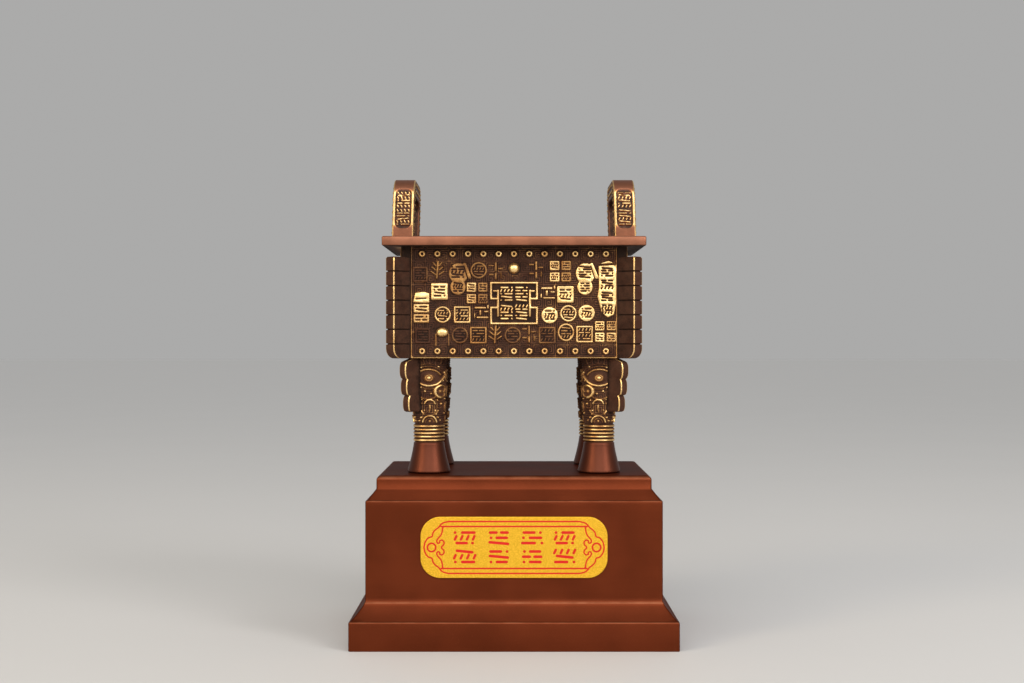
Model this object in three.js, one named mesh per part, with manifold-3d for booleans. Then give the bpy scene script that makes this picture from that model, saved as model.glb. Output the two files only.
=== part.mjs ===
// A small four-legged ding, cast in one piece, standing on a stepped plinth with a plaque on its front.
// Millimetres, +Z up, front towards -Y. The origin is the middle of the plinth's underside.
import * as THREE from "three";
import { mergeVertices } from "three/addons/utils/BufferGeometryUtils.js";
import Module from "manifold-3d";

const wasm = await Module();
wasm.setup();
const { Manifold } = wasm;

// ---------------------------------------------------------------- driving dimensions
const GAP = 0.3; // between pieces that rest on or against each other
const SINK = 0.6; // how far raised work is rooted in the wall behind it
const CLEAR = 50; // length of a cutting block that reaches past everything near it

const PLINTH = {
  base: [160, 120, 14.4], // width, depth and height of each tier
  block: [145, 105, 50.2],
  top: [135, 95, 6.9],
  lowerBevel: 7.6, // heights of the sloping mouldings between the tiers
  upperBevel: 4.7,
  arris: 0.9, // eased edges
  topEdge: [2.2, 2.2], // run and rise of the top tier's eased edge
};

const PLAQUE = { width: 91, height: 29.8, corner: 9.7, thickness: 0.9, centre: 49.5 };

const BODY = { width: 112, depth: 75, height: 55.5, wall: 5.2, floor: 5.2 };
const RIM = { width: 130, depth: 93.6, height: 4.7, edge: 0.7 };
const LEG = { x: 42.8, y: 26, height: 57.1, sides: 12 };
const FLANGE = { thick: 6.2, reach: 7.5, segments: 7, top: 5.2, groove: 0.8, round: 5, root: 7 };
const HANDLE = {
  depth: 53,
  rise: 30.6,
  bar: 8,
  inner: 50.8, // from the middle of the vessel to the ear's two faces
  outer: 61.6,
  corner: 11, // radii of the outer and the inner corners
  innerCorner: 6,
  edge: 0.8,
  lean: 0.9, // how far the top stands in from the foot
};
const PANEL = { width: 8, low: 5.6, high: 24.6, corner: 2.4, sunk: 0.7 }; // heights are above the rim
const STUD = { base: 1.9, crown: 1.25, rise: 1.3, pitch: 7.6, edge: 3.6, sides: 5 };
const SEAL = { rise: 0.9, border: 0.9, sunk: 0.5, side: 8.3, round: 8.2, sides: 10 };

// heights of the main levels, from the surface that the plinth stands on
const PLINTH_TOP =
  PLINTH.base[2] + PLINTH.lowerBevel + PLINTH.block[2] + PLINTH.upperBevel + PLINTH.top[2];
const FOOT_Z = PLINTH_TOP + GAP;
const BODY_Z = FOOT_Z + LEG.height;
const RIM_Z = BODY_Z + BODY.height;
const RIM_TOP = RIM_Z + RIM.height;
const FIELD_Z = BODY_Z + BODY.height / 2; // middle of the decorated walls

// ---------------------------------------------------------------- small tools
// A closed three.js geometry as a solid: shared corners merged, empty triangles dropped, faces outward.
function solid(geometry) {
  const bare = geometry.clone();
  bare.deleteAttribute("uv");
  bare.deleteAttribute("normal");
  const merged = mergeVertices(bare, 1e-4);
  const at = merged.attributes.position.array;
  const corner = (i) => new THREE.Vector3().fromArray(at, 3 * i);
  const faces = [];
  let volume = 0;
  for (let i = 0; i < merged.index.count; i += 3) {
    const [a, b, c] = [0, 1, 2].map((k) => merged.index.getX(i + k));
    if (a === b || b === c || c === a) continue;
    volume += corner(a).dot(corner(b).cross(corner(c)));
    faces.push([a, b, c]);
  }
  const order = volume < 0 ? faces.map(([a, b, c]) => [a, c, b]) : faces;
  const mesh = new wasm.Mesh({
    numProp: 3,
    vertProperties: new Float32Array(at),
    triVerts: new Uint32Array(order.flat()),
  });
  return new Manifold(mesh);
}

// A flat outline, drawn as x and height, raised towards the front from a wall at y = 0.
function raised(shape, rise) {
  const geometry = new THREE.ExtrudeGeometry(shape, { depth: rise + SINK, bevelEnabled: false });
  return solid(geometry.rotateX(Math.PI / 2).translate(0, SINK, 0));
}

function outline(points) {
  return new THREE.Shape(points.map(([x, y]) => new THREE.Vector2(x, y)));
}

function rectangle(width, height) {
  const [w, h] = [width / 2, height / 2];
  return outline([[-w, -h], [w, -h], [w, h], [-w, h]]);
}

function ellipse(width, height, sides = SEAL.sides) {
  const turn = (2 * Math.PI) / sides;
  const ring = [...Array(sides).keys()].map((i) => (i + 0.5) * turn);
  return outline(ring.map((t) => [(width / 2) * Math.cos(t), (height / 2) * Math.sin(t)]));
}

function roundedRectangle(width, height, radius, segments = 4) {
  const [w, h] = [width / 2 - radius, height / 2 - radius];
  const corners = [[w, -h, -1], [w, h, 0], [-w, h, 1], [-w, -h, 2]];
  const points = corners.flatMap(([x, y, quarter]) =>
    [...Array(segments + 1).keys()].map((i) => {
      const t = ((quarter + i / segments) * Math.PI) / 2;
      return [x + radius * Math.cos(t), y + radius * Math.sin(t)];
    }),
  );
  return outline(points);
}

// A straight raised stroke between two points of a wall.
function stroke([x0, z0], [x1, z1], width, rise) {
  const run = Math.hypot(x1 - x0, z1 - z0);
  const turn = (Math.atan2(z1 - z0, x1 - x0) * 180) / Math.PI;
  const bar = raised(rectangle(run, width), rise);
  return bar.rotate([0, -turn, 0]).translate([(x0 + x1) / 2, 0, (z0 + z1) / 2]);
}

// A raised arc, such as a brow or a curl, from one angle to another.
function arc(radius, width, rise, from, to, steps) {
  const angles = [...Array(steps + 1).keys()].map((i) => from + ((to - from) * i) / steps);
  const at = (r, t) => [r * Math.cos(t), r * Math.sin(t)];
  const outer = angles.map((t) => at(radius + width / 2, t));
  const inner = angles.map((t) => at(radius - width / 2, t)).reverse();
  return raised(outline([...outer, ...inner]), rise);
}

// A block whose width and depth change with height, one row of levels from the bottom up.
function steppedBlock(levels) {
  const points = levels.flatMap(([z, width, depth]) => {
    const [w, d] = [width / 2, depth / 2];
    return [-w, -d, z, w, -d, z, w, d, z, -w, d, z];
  });
  const faces = [0, 2, 1, 0, 3, 2];
  for (let level = 0; level < levels.length - 1; level++) {
    for (let side = 0; side < 4; side++) {
      const [a, b] = [4 * level + side, 4 * level + ((side + 1) % 4)];
      faces.push(a, b, b + 4, a, b + 4, a + 4);
    }
  }
  const last = 4 * (levels.length - 1);
  faces.push(last, last + 1, last + 2, last, last + 2, last + 3);
  const geometry = new THREE.BufferGeometry();
  geometry.setAttribute("position", new THREE.Float32BufferAttribute(points, 3));
  geometry.setIndex(faces);
  return geometry;
}

function box(width, depth, height, x, y, z) {
  return solid(new THREE.BoxGeometry(width, depth, height).translate(x, y, z + height / 2));
}

// ---------------------------------------------------------------- raised work on the walls
const place = (piece, x, z) => piece.translate([x, 0, z]);

// A seal: a raised tablet with a border round a sunk middle.
function seal(shape, middle) {
  const hollow = raised(middle, SEAL.rise + 1).translate([0, -SINK - SEAL.rise + SEAL.sunk, 0]);
  return raised(shape, SEAL.rise).subtract(hollow);
}

function squareSeal(width = SEAL.side, height = SEAL.side) {
  const [w, h] = [width - 2 * SEAL.border, height - 2 * SEAL.border];
  return seal(rectangle(width, height), rectangle(w, h));
}

function roundSeal(width = SEAL.round, height = SEAL.round) {
  const [w, h] = [width - 2 * SEAL.border, height - 2 * SEAL.border];
  return seal(ellipse(width, height), ellipse(w, h));
}

// Four small tablets in a square.
function fourTiles(side = 4.6, step = 5.6) {
  const steps = [-step / 2, step / 2];
  const tile = raised(rectangle(side, side), SEAL.rise);
  return Manifold.union(steps.flatMap((x) => steps.map((z) => place(tile, x, z))));
}

// A seal shaped like a gourd, with a leaf hanging off its right shoulder.
function gourdSeal() {
  const upper = place(raised(ellipse(10, 10.6), SEAL.rise), 0, 2.4);
  const lower = place(raised(ellipse(7.8, 8), SEAL.rise), -0.3, -4.2);
  const leaf = stroke([2.4, 7.6], [5.6, 0.2], 1.9, SEAL.rise);
  return Manifold.union([upper, lower, leaf]);
}

// The tall broken slab near the right-hand edge, with a sliver above it.
function tallSlab() {
  const slab = [
    [-3.9, 0], [-4.6, -3.5], [-2.5, -11.5], [0.5, -14], [3.6, -12.5], [4.6, -7.5], [4.6, 12.2], [-4, 11.7],
  ];
  const sliver = [[-4.1, 12.6], [4, 13], [0.8, 14.3]];
  return raised(outline(slab), SEAL.rise).add(raised(outline(sliver), SEAL.rise));
}

// The shorter slab near the left-hand edge, parted by two grooves.
function shortSlab() {
  const cap = outline([[-4.1, 2.6], [4, 2.4], [4, 7], [1.5, 7.9], [-3, 7.4]]);
  const middle = place(raised(rectangle(7.8, 4.2), SEAL.rise), 0, -0.4);
  const foot = place(raised(rectangle(7.6, 4.2), SEAL.rise), 0.1, -5.4);
  return Manifold.union([raised(cap, SEAL.rise), middle, foot]);
}

// A round boss like half a ball.
function boss(width, height, rise, sides = 8) {
  const dome = new THREE.SphereGeometry(1, sides, sides - 2).scale(width / 2, rise, height / 2);
  return solid(dome);
}

// A sprig: an upright with two pairs of slanting branches.
function sprig() {
  const wide = 0.9;
  const parts = [stroke([0, -4.5], [0, 4.2], wide, SEAL.rise)];
  for (const side of [-1, 1]) {
    parts.push(stroke([0, -0.6], [side * 2.8, 3.6], wide, SEAL.rise));
    parts.push(stroke([0, -3.2], [side * 2.8, 0.6], wide, SEAL.rise));
  }
  return Manifold.union(parts);
}

// Loose upright and level dashes.
function dashes() {
  const wide = 1;
  return Manifold.union([
    stroke([0, -4.4], [0, 3.6], wide, SEAL.rise),
    stroke([-3, 2.4], [-1.2, 2.4], wide, SEAL.rise),
    stroke([1.2, 1], [3, 1], wide, SEAL.rise),
    stroke([-3, -2], [-1.2, -2], wide, SEAL.rise),
  ]);
}

// The frame in the middle: a rectangle notched at both sides, with four tablets in it.
function middleFrame(width = 23.8, height = 21.2, line = 0.9, notch = 3.5) {
  const ring = (inset) => {
    const [w, h, n] = [width / 2 - inset, height / 2 - inset, notch / 2 + inset];
    const in_x = w - notch;
    const right = [[w, -h], [w, -n], [in_x, -n], [in_x, n], [w, n], [w, h]];
    return [...right, ...right.map(([x, z]) => [-x, -z])];
  };
  const shape = outline(ring(0));
  shape.holes.push(new THREE.Path(ring(line).map(([x, z]) => new THREE.Vector2(x, z))));
  const parts = [raised(shape, SEAL.rise)];
  const bar = width / 2 - notch - line / 2;
  for (const side of [-1, 1]) {
    parts.push(stroke([side * bar, -6.2], [side * bar, 6.2], line, SEAL.rise));
    for (const up of [-1, 1]) {
      parts.push(place(raised(rectangle(6.6, 7.8), SEAL.rise * 0.7), side * 3.8, up * 4.6));
    }
  }
  return Manifold.union(parts);
}

// Rows of studs along a wall, near its upper and lower edges.
function studRows(count) {
  const dome = new THREE.CylinderGeometry(STUD.crown, STUD.base, STUD.rise + SINK, STUD.sides);
  const stud = solid(dome.rotateX(Math.PI / 2).translate(0, (SINK - STUD.rise) / 2, 0));
  const rows = [-1, 1].map((up) => up * (BODY.height / 2 - STUD.edge));
  const columns = [...Array(count).keys()].map((i) => (i - (count - 1) / 2) * STUD.pitch);
  return rows.flatMap((z) => columns.map((x) => place(stud, x, z)));
}

// The front wall's seals, as kind, distance from the middle and height above the wall's middle.
const FRONT = [
  [squareSeal(7.4), -46.5, 14], [sprig(), -38, 16.5], [gourdSeal(), -27.5, 12], [roundSeal(), -17.5, 16],
  [dashes(), -9, 16], [boss(5.2, 5.2, 2.6), 0, 17], [dashes(), 11, 16.5], [fourTiles(), 23, 15.5],
  [gourdSeal(), 35.5, 12], [tallSlab(), 46, 6.5],
  [squareSeal(), -37, 5.5], [fourTiles(), -18.3, 4.7], [middleFrame(), 0, -0.3], [dashes(), 16.8, 4.7],
  [squareSeal(), 25.5, 4], [shortSlab(), -46, -2.5],
  [roundSeal(), -35.4, -6], [squareSeal(), -25.7, -6], [dashes(), -16.2, -5], [roundSeal(), 17.7, -6.3],
  [roundSeal(), 27, -5.4], [roundSeal(), 36, -5.2],
  [squareSeal(7.6), -45.3, -16.5], [boss(6.2, 4.6, 2), -35.6, -14.8], [roundSeal(), -26.8, -16.2],
  [squareSeal(), -17.7, -16.2], [sprig(), -9.3, -15.6], [roundSeal(), -0.6, -16.2], [dashes(), 7.5, -15.4],
  [squareSeal(), 16.4, -16.2], [roundSeal(8, 8.9), 25.8, -14.8], [squareSeal(), 35, -15.7],
  [fourTiles(), 45.4, -14.4],
];

// The other walls carry plain tablets, square and round in turn, in three rows.
function plainTablets(columns, step, rowStep, clear) {
  const kinds = [
    raised(rectangle(SEAL.side, SEAL.side), SEAL.rise),
    raised(ellipse(SEAL.round, SEAL.round, 8), SEAL.rise),
  ];
  const tablets = [];
  for (let row = 0; row < 3; row++) {
    for (let column = 0; column < columns; column++) {
      const x = (column - (columns - 1) / 2) * step;
      const z = (1 - row) * rowStep;
      if (Math.abs(x) < clear && row === 1) continue;
      tablets.push(place(kinds[(row + column) % 2], x, z));
    }
  }
  return tablets;
}

// One wall's raised work, made at the front and then turned about the vertical to its own side.
function wall(parts, distance, turn) {
  return Manifold.union(parts).translate([0, -distance, FIELD_Z]).rotate([0, 0, turn]);
}

function walls() {
  const front = [...FRONT.map(([piece, x, z]) => place(piece, x, z)), ...studRows(13)];
  const back = [...plainTablets(8, 12.4, 15.2, 14), middleFrame(), ...studRows(13)];
  const end = [...plainTablets(5, 12.6, 13.4, 0), ...studRows(8)];
  return [
    wall(front, BODY.depth / 2, 0),
    wall(back, BODY.depth / 2, 180),
    wall(end, BODY.width / 2, 90),
    wall(end, BODY.width / 2, -90),
  ];
}

// ---------------------------------------------------------------- the vessel's main forms
function bowl() {
  const body = box(BODY.width, BODY.depth, BODY.height + 1, 0, 0, BODY_Z);
  const e = RIM.edge;
  const rim = solid(
    steppedBlock([
      [RIM_Z, RIM.width - 2 * e, RIM.depth - 2 * e],
      [RIM_Z + e, RIM.width, RIM.depth],
      [RIM_TOP - e, RIM.width, RIM.depth],
      [RIM_TOP, RIM.width - 2 * e, RIM.depth - 2 * e],
    ]),
  );
  return body.add(rim);
}

function hollow() {
  const [width, depth] = [BODY.width - 2 * BODY.wall, BODY.depth - 2 * BODY.wall];
  return box(width, depth, BODY.height + CLEAR, 0, 0, BODY_Z + BODY.floor);
}

// An upright fin on a corner, drawn as reach and height, with level grooves across its three faces.
function flange() {
  const height = BODY.height - FLANGE.top;
  const [reach, r] = [FLANGE.reach, FLANGE.round];
  const curve = [0, 1, 2, 3].map((i) => (i * Math.PI) / 6);
  const foot = curve.map((t) => [reach - r + r * Math.sin(t), r - r * Math.cos(t)]);
  const profile = [[-FLANGE.root, 0], ...foot, [reach, height - 0.8], [reach - 0.8, height]];
  const fin = new THREE.ExtrudeGeometry(outline([...profile, [-FLANGE.root, height]]), {
    depth: FLANGE.thick,
    bevelEnabled: false,
  });
  let body = solid(fin.rotateX(Math.PI / 2).translate(0, FLANGE.thick / 2, BODY_Z));
  const core = box(
    2 * (reach - FLANGE.groove), FLANGE.thick - 2 * FLANGE.groove, height, 0, 0, BODY_Z,
  );
  for (let i = 1; i < FLANGE.segments; i++) {
    const z = BODY_Z + (i * height) / FLANGE.segments - FLANGE.groove / 2;
    body = body.subtract(box(CLEAR, CLEAR, FLANGE.groove, 0, 0, z).subtract(core));
  }
  return body;
}

// One ear: an arch standing on the rim and leaning in a little, its front and back edges panelled.
function handle() {
  const [d, top, bar] = [HANDLE.depth / 2, HANDLE.rise, HANDLE.bar];
  const [r, s] = [HANDLE.corner, HANDLE.innerCorner];
  const foot = -1.5; // rooted in the rim
  const arch = (inset) => {
    const quarter = (radius, segments) =>
      [...Array(segments + 1).keys()].map((i) => [
        radius * Math.cos((i * Math.PI) / (2 * segments)),
        radius * Math.sin((i * Math.PI) / (2 * segments)),
      ]);
    const outer = quarter(r - inset, 3).map(([y, z]) => [d - r + y, top - r + z]);
    const inner = quarter(s + inset, 3).map(([y, z]) => [d - bar - s + y, top - bar - s + z]);
    const right = [[d - inset, foot], ...outer];
    const inside = [[d - bar + inset, foot], ...inner];
    const left = (side) => side.map(([y, z]) => [-y, z]).reverse();
    return outline([...right, ...left(right), ...left(inside).reverse(), ...[...inside].reverse()]);
  };
  const width = HANDLE.outer - HANDLE.inner;
  const e = HANDLE.edge;
  const plain = new THREE.ExtrudeGeometry(arch(e), {
    depth: width - 2 * e,
    bevelThickness: e,
    bevelSize: e,
    bevelSegments: 1,
  });
  const core = new THREE.ExtrudeGeometry(arch(PANEL.sunk), { depth: CLEAR, bevelEnabled: false });
  const lean = new THREE.Matrix4().makeShear(0, 0, 0, 0, -HANDLE.lean / HANDLE.rise, 0);
  const upright = (geometry, x) =>
    solid(geometry.translate(0, 0, x).rotateX(Math.PI / 2).rotateZ(Math.PI / 2).applyMatrix4(lean));
  const body = upright(plain, HANDLE.inner + e);
  const height = PANEL.high - PANEL.low;
  const panel = new THREE.ExtrudeGeometry(roundedRectangle(PANEL.width, height, PANEL.corner, 3), {
    depth: 2 * CLEAR,
    bevelEnabled: false,
  });
  const x = (HANDLE.inner + HANDLE.outer) / 2;
  panel.rotateX(Math.PI / 2).translate(x, CLEAR, PANEL.low + height / 2).applyMatrix4(lean);
  const cut = solid(panel);
  return body.subtract(cut.subtract(upright(core, x - CLEAR / 2))).translate([0, 0, RIM_TOP]);
}

// ---------------------------------------------------------------- a leg
// Radius at each height above the foot, from the flared foot and ringed ankle to the mask.
const LEG_PROFILE = [
  [0, 0], [10.5, 0], [10.9, 0.5], [10.6, 1.6], [9.3, 6.6], [8, 11.2], [7.7, 14.6],
];
const RINGS = { count: 5, low: 15.3, pitch: 1.75, crest: 7.9, valley: 7 };
const MASK = { neck: 7.1, brow: 8.5, low: 25, high: 43 }; // radii and the heights between them
const EYE = { height: 47.3, radius: 7.9 };
const CURL = { height: 40.6, radius: 7.4, behind: 37 }; // degrees round the shaft from the eye
const LIP = { height: 25.8, radius: 6.9 };
const FIN = { thick: 4.6, low: 30.5, lobes: [15.6, 17, 17.8], step: 8.3, notch: 1 };

function shaft() {
  const points = LEG_PROFILE.map(([r, z]) => new THREE.Vector2(r, z));
  for (let i = 0; i < RINGS.count; i++) {
    const z = RINGS.low + i * RINGS.pitch;
    points.push(new THREE.Vector2(RINGS.valley, z));
    points.push(new THREE.Vector2(RINGS.crest, z + RINGS.pitch / 2));
  }
  points.push(new THREE.Vector2(RINGS.valley, RINGS.low + RINGS.count * RINGS.pitch));
  points.push(new THREE.Vector2(MASK.neck, MASK.low));
  points.push(new THREE.Vector2(MASK.brow, MASK.high));
  points.push(new THREE.Vector2(MASK.brow, LEG.height + 1));
  points.push(new THREE.Vector2(0, LEG.height + 1));
  return solid(new THREE.LatheGeometry(points, LEG.sides).rotateX(Math.PI / 2));
}

// The scalloped fin down the leg's outer corner, drawn as reach and height.
function fin() {
  const lobes = FIN.lobes.flatMap((reach, i) => {
    const z = FIN.low + i * FIN.step;
    return [
      [reach - FIN.notch, z], [reach, z + 0.25 * FIN.step], [reach, z + 0.8 * FIN.step],
    ];
  });
  const top = FIN.low + FIN.lobes.length * FIN.step;
  const shape = outline([[0, FIN.low], ...lobes, [FIN.lobes[2] - FIN.notch, top], [10, LEG.height + 0.5],
    [0, LEG.height + 0.5]]);
  const plate = new THREE.ExtrudeGeometry(shape, { depth: FIN.thick, bevelEnabled: false });
  return solid(plate.rotateX(Math.PI / 2).translate(0, FIN.thick / 2, 0));
}

// Half of the beast mask, as raised work on a wall that is then set against the shaft.
function halfMask(turn) {
  const onShaft = (piece, radius, z, azimuth) =>
    piece.translate([0, -radius, z]).rotate([0, 0, azimuth]);
  const way = Math.sign(turn);
  const lid = new THREE.CylinderGeometry(1.7, 3.5, 1.2 + SINK, 8).rotateX(Math.PI / 2);
  const eye = solid(lid.scale(1, 1, 0.75).translate(0, (SINK - 1.2) / 2, 0));
  const pupil = boss(2.2, 2.2, 2, 6);
  const brow = arc(4.4, 1.1, 1.1, 0.25 * Math.PI, 0.75 * Math.PI, 3);
  const cheek = arc(4.4, 1.1, 1.1, 1.2 * Math.PI, 1.8 * Math.PI, 3);
  const curl = arc(2.3, 1.5, 1.6, -0.75 * Math.PI, 0.75 * Math.PI, 5);
  const lip = arc(3.2, 1, 0.9, 0.12 * Math.PI, 0.88 * Math.PI, 3);
  return [
    onShaft(Manifold.union([eye, pupil, brow, cheek]), EYE.radius, EYE.height, turn),
    onShaft(way > 0 ? curl : curl.mirror([1, 0, 0]), CURL.radius, CURL.height, turn + way * CURL.behind),
    onShaft(lip, LIP.radius, LIP.height, turn),
  ];
}

// The leg at the front left, its fin towards the body's corner.
function leg() {
  const outward = -135; // degrees about the vertical, from +X
  const straightFront = -90;
  const mask = [50, -50].flatMap((turn) => halfMask(turn)).map((piece) =>
    piece.rotate([0, 0, outward - straightFront]),
  );
  const parts = [shaft(), fin().rotate([0, 0, outward]), ...mask];
  return Manifold.union(parts).translate([-LEG.x, -LEG.y, FOOT_Z]);
}

// The four corners from the one at the front left, and both ends from the one at the right.
function fourCorners(piece) {
  const right = piece.mirror([1, 0, 0]);
  return [piece, right, piece.mirror([0, 1, 0]), right.mirror([0, 1, 0])];
}

function vessel() {
  const corner = flange().rotate([0, 0, -135]).translate([-BODY.width / 2, -BODY.depth / 2, 0]);
  const right = handle();
  const solids = [
    bowl(),
    ...walls(),
    ...fourCorners(corner),
    ...fourCorners(leg()),
    right,
    right.mirror([1, 0, 0]),
  ];
  return Manifold.union(solids).subtract(hollow());
}

// ---------------------------------------------------------------- plinth and plaque
function plinth() {
  const { base, block, top, lowerBevel, upperBevel, arris, topEdge } = PLINTH;
  const inset = ([width, depth], by) => [width - 2 * by, depth - 2 * by];
  const [baseTop, blockLow] = [base[2], base[2] + lowerBevel];
  const blockTop = blockLow + block[2];
  const topLow = blockTop + upperBevel;
  return steppedBlock([
    [0, ...inset(base, arris / 2)],
    [arris / 2, ...inset(base, 0)],
    [baseTop - arris, ...inset(base, 0)],
    [baseTop, ...inset(base, arris)],
    [blockLow, ...inset(block, -0.5)],
    [blockLow + 0.7, ...inset(block, 0)],
    [blockTop - arris, ...inset(block, 0)],
    [blockTop, ...inset(block, arris)],
    [topLow, ...inset(top, -0.4)],
    [topLow + 0.6, ...inset(top, 0)],
    [PLINTH_TOP - topEdge[1], ...inset(top, 0)],
    [PLINTH_TOP - 0.35 * topEdge[1], ...inset(top, 0.35 * topEdge[0])],
    [PLINTH_TOP, ...inset(top, topEdge[0])],
  ]);
}

function plaque() {
  const shape = roundedRectangle(PLAQUE.width, PLAQUE.height, PLAQUE.corner, 8);
  const plate = new THREE.ExtrudeGeometry(shape, { depth: PLAQUE.thickness, bevelEnabled: false });
  const back = -PLINTH.block[1] / 2 - GAP;
  return plate.rotateX(Math.PI / 2).translate(0, back, PLAQUE.centre);
}

// ---------------------------------------------------------------- the scene graph
function named(name, geometry, color, roughness, metalness) {
  const material = new THREE.MeshStandardMaterial({ color, roughness, metalness });
  const mesh = new THREE.Mesh(geometry, material);
  mesh.name = name;
  return mesh;
}

function geometryOf(piece) {
  const { vertProperties, triVerts } = piece.getMesh();
  const geometry = new THREE.BufferGeometry();
  geometry.setAttribute("position", new THREE.Float32BufferAttribute(vertProperties, 3));
  geometry.setIndex([...triVerts]);
  return geometry;
}

const group = new THREE.Group();
group.add(named("ding_vessel", geometryOf(vessel()), 0x6b4a30, 0.45, 0.8));
group.add(named("plinth", plinth(), 0x5e2a1c, 0.4, 0.3));
group.add(named("plaque", plaque(), 0xe6b93a, 0.35, 0.6));

export default group;
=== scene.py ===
"""A small square ding in antique bronze on a stepped plinth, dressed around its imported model."""
import math
from functools import partial
from types import SimpleNamespace

import bpy
import numpy as np
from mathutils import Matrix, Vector


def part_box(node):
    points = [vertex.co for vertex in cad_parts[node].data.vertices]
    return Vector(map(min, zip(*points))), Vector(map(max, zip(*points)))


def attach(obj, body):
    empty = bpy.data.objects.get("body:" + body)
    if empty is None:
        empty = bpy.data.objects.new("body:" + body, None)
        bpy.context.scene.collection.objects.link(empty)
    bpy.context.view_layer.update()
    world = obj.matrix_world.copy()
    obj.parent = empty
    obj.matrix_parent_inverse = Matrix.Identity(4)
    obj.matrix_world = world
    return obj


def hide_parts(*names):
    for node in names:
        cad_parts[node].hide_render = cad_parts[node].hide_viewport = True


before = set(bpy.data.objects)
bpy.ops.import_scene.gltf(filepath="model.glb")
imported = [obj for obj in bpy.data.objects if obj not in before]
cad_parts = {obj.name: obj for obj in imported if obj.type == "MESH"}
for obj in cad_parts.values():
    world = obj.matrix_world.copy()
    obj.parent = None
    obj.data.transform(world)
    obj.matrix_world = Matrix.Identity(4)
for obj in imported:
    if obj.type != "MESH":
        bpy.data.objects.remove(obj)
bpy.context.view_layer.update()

bl_info = {
    "name": "Ding on a plinth",
    "version": (1, 0, 0),
    "blender": (4, 5, 0),
    "location": "3D View > Sidebar > Ding",
    "description": "Makes a small square ding in antique bronze, its stepped plinth and its plaque",
    "category": "Add Mesh",
}

MM = 0.001
BODY = "root"

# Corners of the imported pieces, in millimetres.
VESSEL_LOW, VESSEL_HIGH = (np.array(corner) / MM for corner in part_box("ding_vessel"))
PLINTH_LOW, PLINTH_HIGH = (np.array(corner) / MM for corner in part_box("plinth"))
PLAQUE_LOW, PLAQUE_HIGH = (np.array(corner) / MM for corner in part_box("plaque"))


# ---------------------------------------------------------------- settings
def amount(name, description, value, **more):
    return bpy.props.FloatProperty(name=name, description=description, default=value, **more)


def length(name, description, millimetres):
    return amount(name, description, millimetres * MM, min=0.0, precision=5, unit="LENGTH")


def colour(name, description, value):
    return bpy.props.FloatVectorProperty(
        name=name, description=description, default=value, min=0.0, max=1.0, size=3, subtype="COLOR"
    )


class DingVesselSizes(bpy.types.PropertyGroup):
    """Sizes of the vessel."""

    leg_height: length("Leg height", "From the foot to the underside of the body", 57.1)
    leg_x: length("Leg across", "From the middle to a leg's axis, left to right", 42.8)
    leg_y: length("Leg back", "From the middle to a leg's axis, front to back", 26.0)
    body_width: length("Body width", "Width of the body at its walls", 112.0)
    body_depth: length("Body depth", "Depth of the body at its walls", 75.0)
    body_height: length("Body height", "From the underside of the body to the rim", 55.5)
    wall: length("Wall", "Thickness of the walls and the floor", 5.2)
    rim_height: length("Rim height", "Thickness of the flat rim", 4.7)
    flange_reach: length("Flange reach", "How far a corner flange stands out from its corner", 7.5)
    flange_thick: length("Flange thickness", "Thickness of a corner flange", 6.2)
    ear_depth: length("Ear depth", "Length of an ear, front to back", 53.0)
    ear_bar: length("Ear bar", "Thickness of an ear's bar", 8.0)
    ear_inner: length("Ear inner face", "From the middle to an ear's inner face", 50.8)
    ear_outer: length("Ear outer face", "From the middle to an ear's outer face", 61.6)
    ear_lean: length("Ear lean", "How far an ear's top leans towards the middle", 0.9)
    seal_rise: length("Seal rise", "How far the seals stand out of the ground", 0.9)
    step: length("Grid step", "Spacing of the relief's grid on the front wall", 0.29)


class DingPlinthSizes(bpy.types.PropertyGroup):
    """Sizes of the plinth and its plaque."""

    base_height: length("Base height", "Height of the bottom tier", 14.4)
    lower_bevel: length("Lower bevel", "Height of the slope above the bottom tier", 7.6)
    block_width: length("Block width", "Width of the main block", 145.0)
    block_depth: length("Block depth", "Depth of the main block", 105.0)
    block_height: length("Block height", "Height of the main block", 50.2)
    upper_bevel: length("Upper bevel", "Height of the slope above the main block", 4.7)
    top_width: length("Top width", "Width of the top tier", 135.0)
    top_depth: length("Top depth", "Depth of the top tier", 95.0)
    corner: length("Corner", "Radius of the upright corners", 0.9)
    plaque_corner: length("Plaque corner", "Radius of the plaque's corners", 9.7)


class DingColours(bpy.types.PropertyGroup):
    """Colours of the finishes."""

    recess: colour("Recess", "Dark patina in the hollows", (0.020, 0.010, 0.006))
    patina: colour("Patina", "Brown of the worn ground", (0.088, 0.036, 0.020))
    brass: colour("Brass", "Half rubbed raised work", (0.44, 0.235, 0.080))
    gold: colour("Gold", "Fully rubbed raised work", (0.94, 0.67, 0.30))
    satin: colour("Satin copper", "Smooth rim, ears and feet", (0.34, 0.135, 0.075))
    inside: colour("Inside", "Brown inside the bowl", (0.10, 0.05, 0.03))
    plinth: colour("Plinth", "Metallic copper-brown paint", (0.138, 0.028, 0.010))
    plaque: colour("Plaque", "Gold sheet", (0.86, 0.48, 0.020))
    print: colour("Print", "Red ink on the plaque", (0.52, 0.008, 0.005))
    floor: colour("Floor", "Pale floor", (0.62, 0.615, 0.605))


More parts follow.
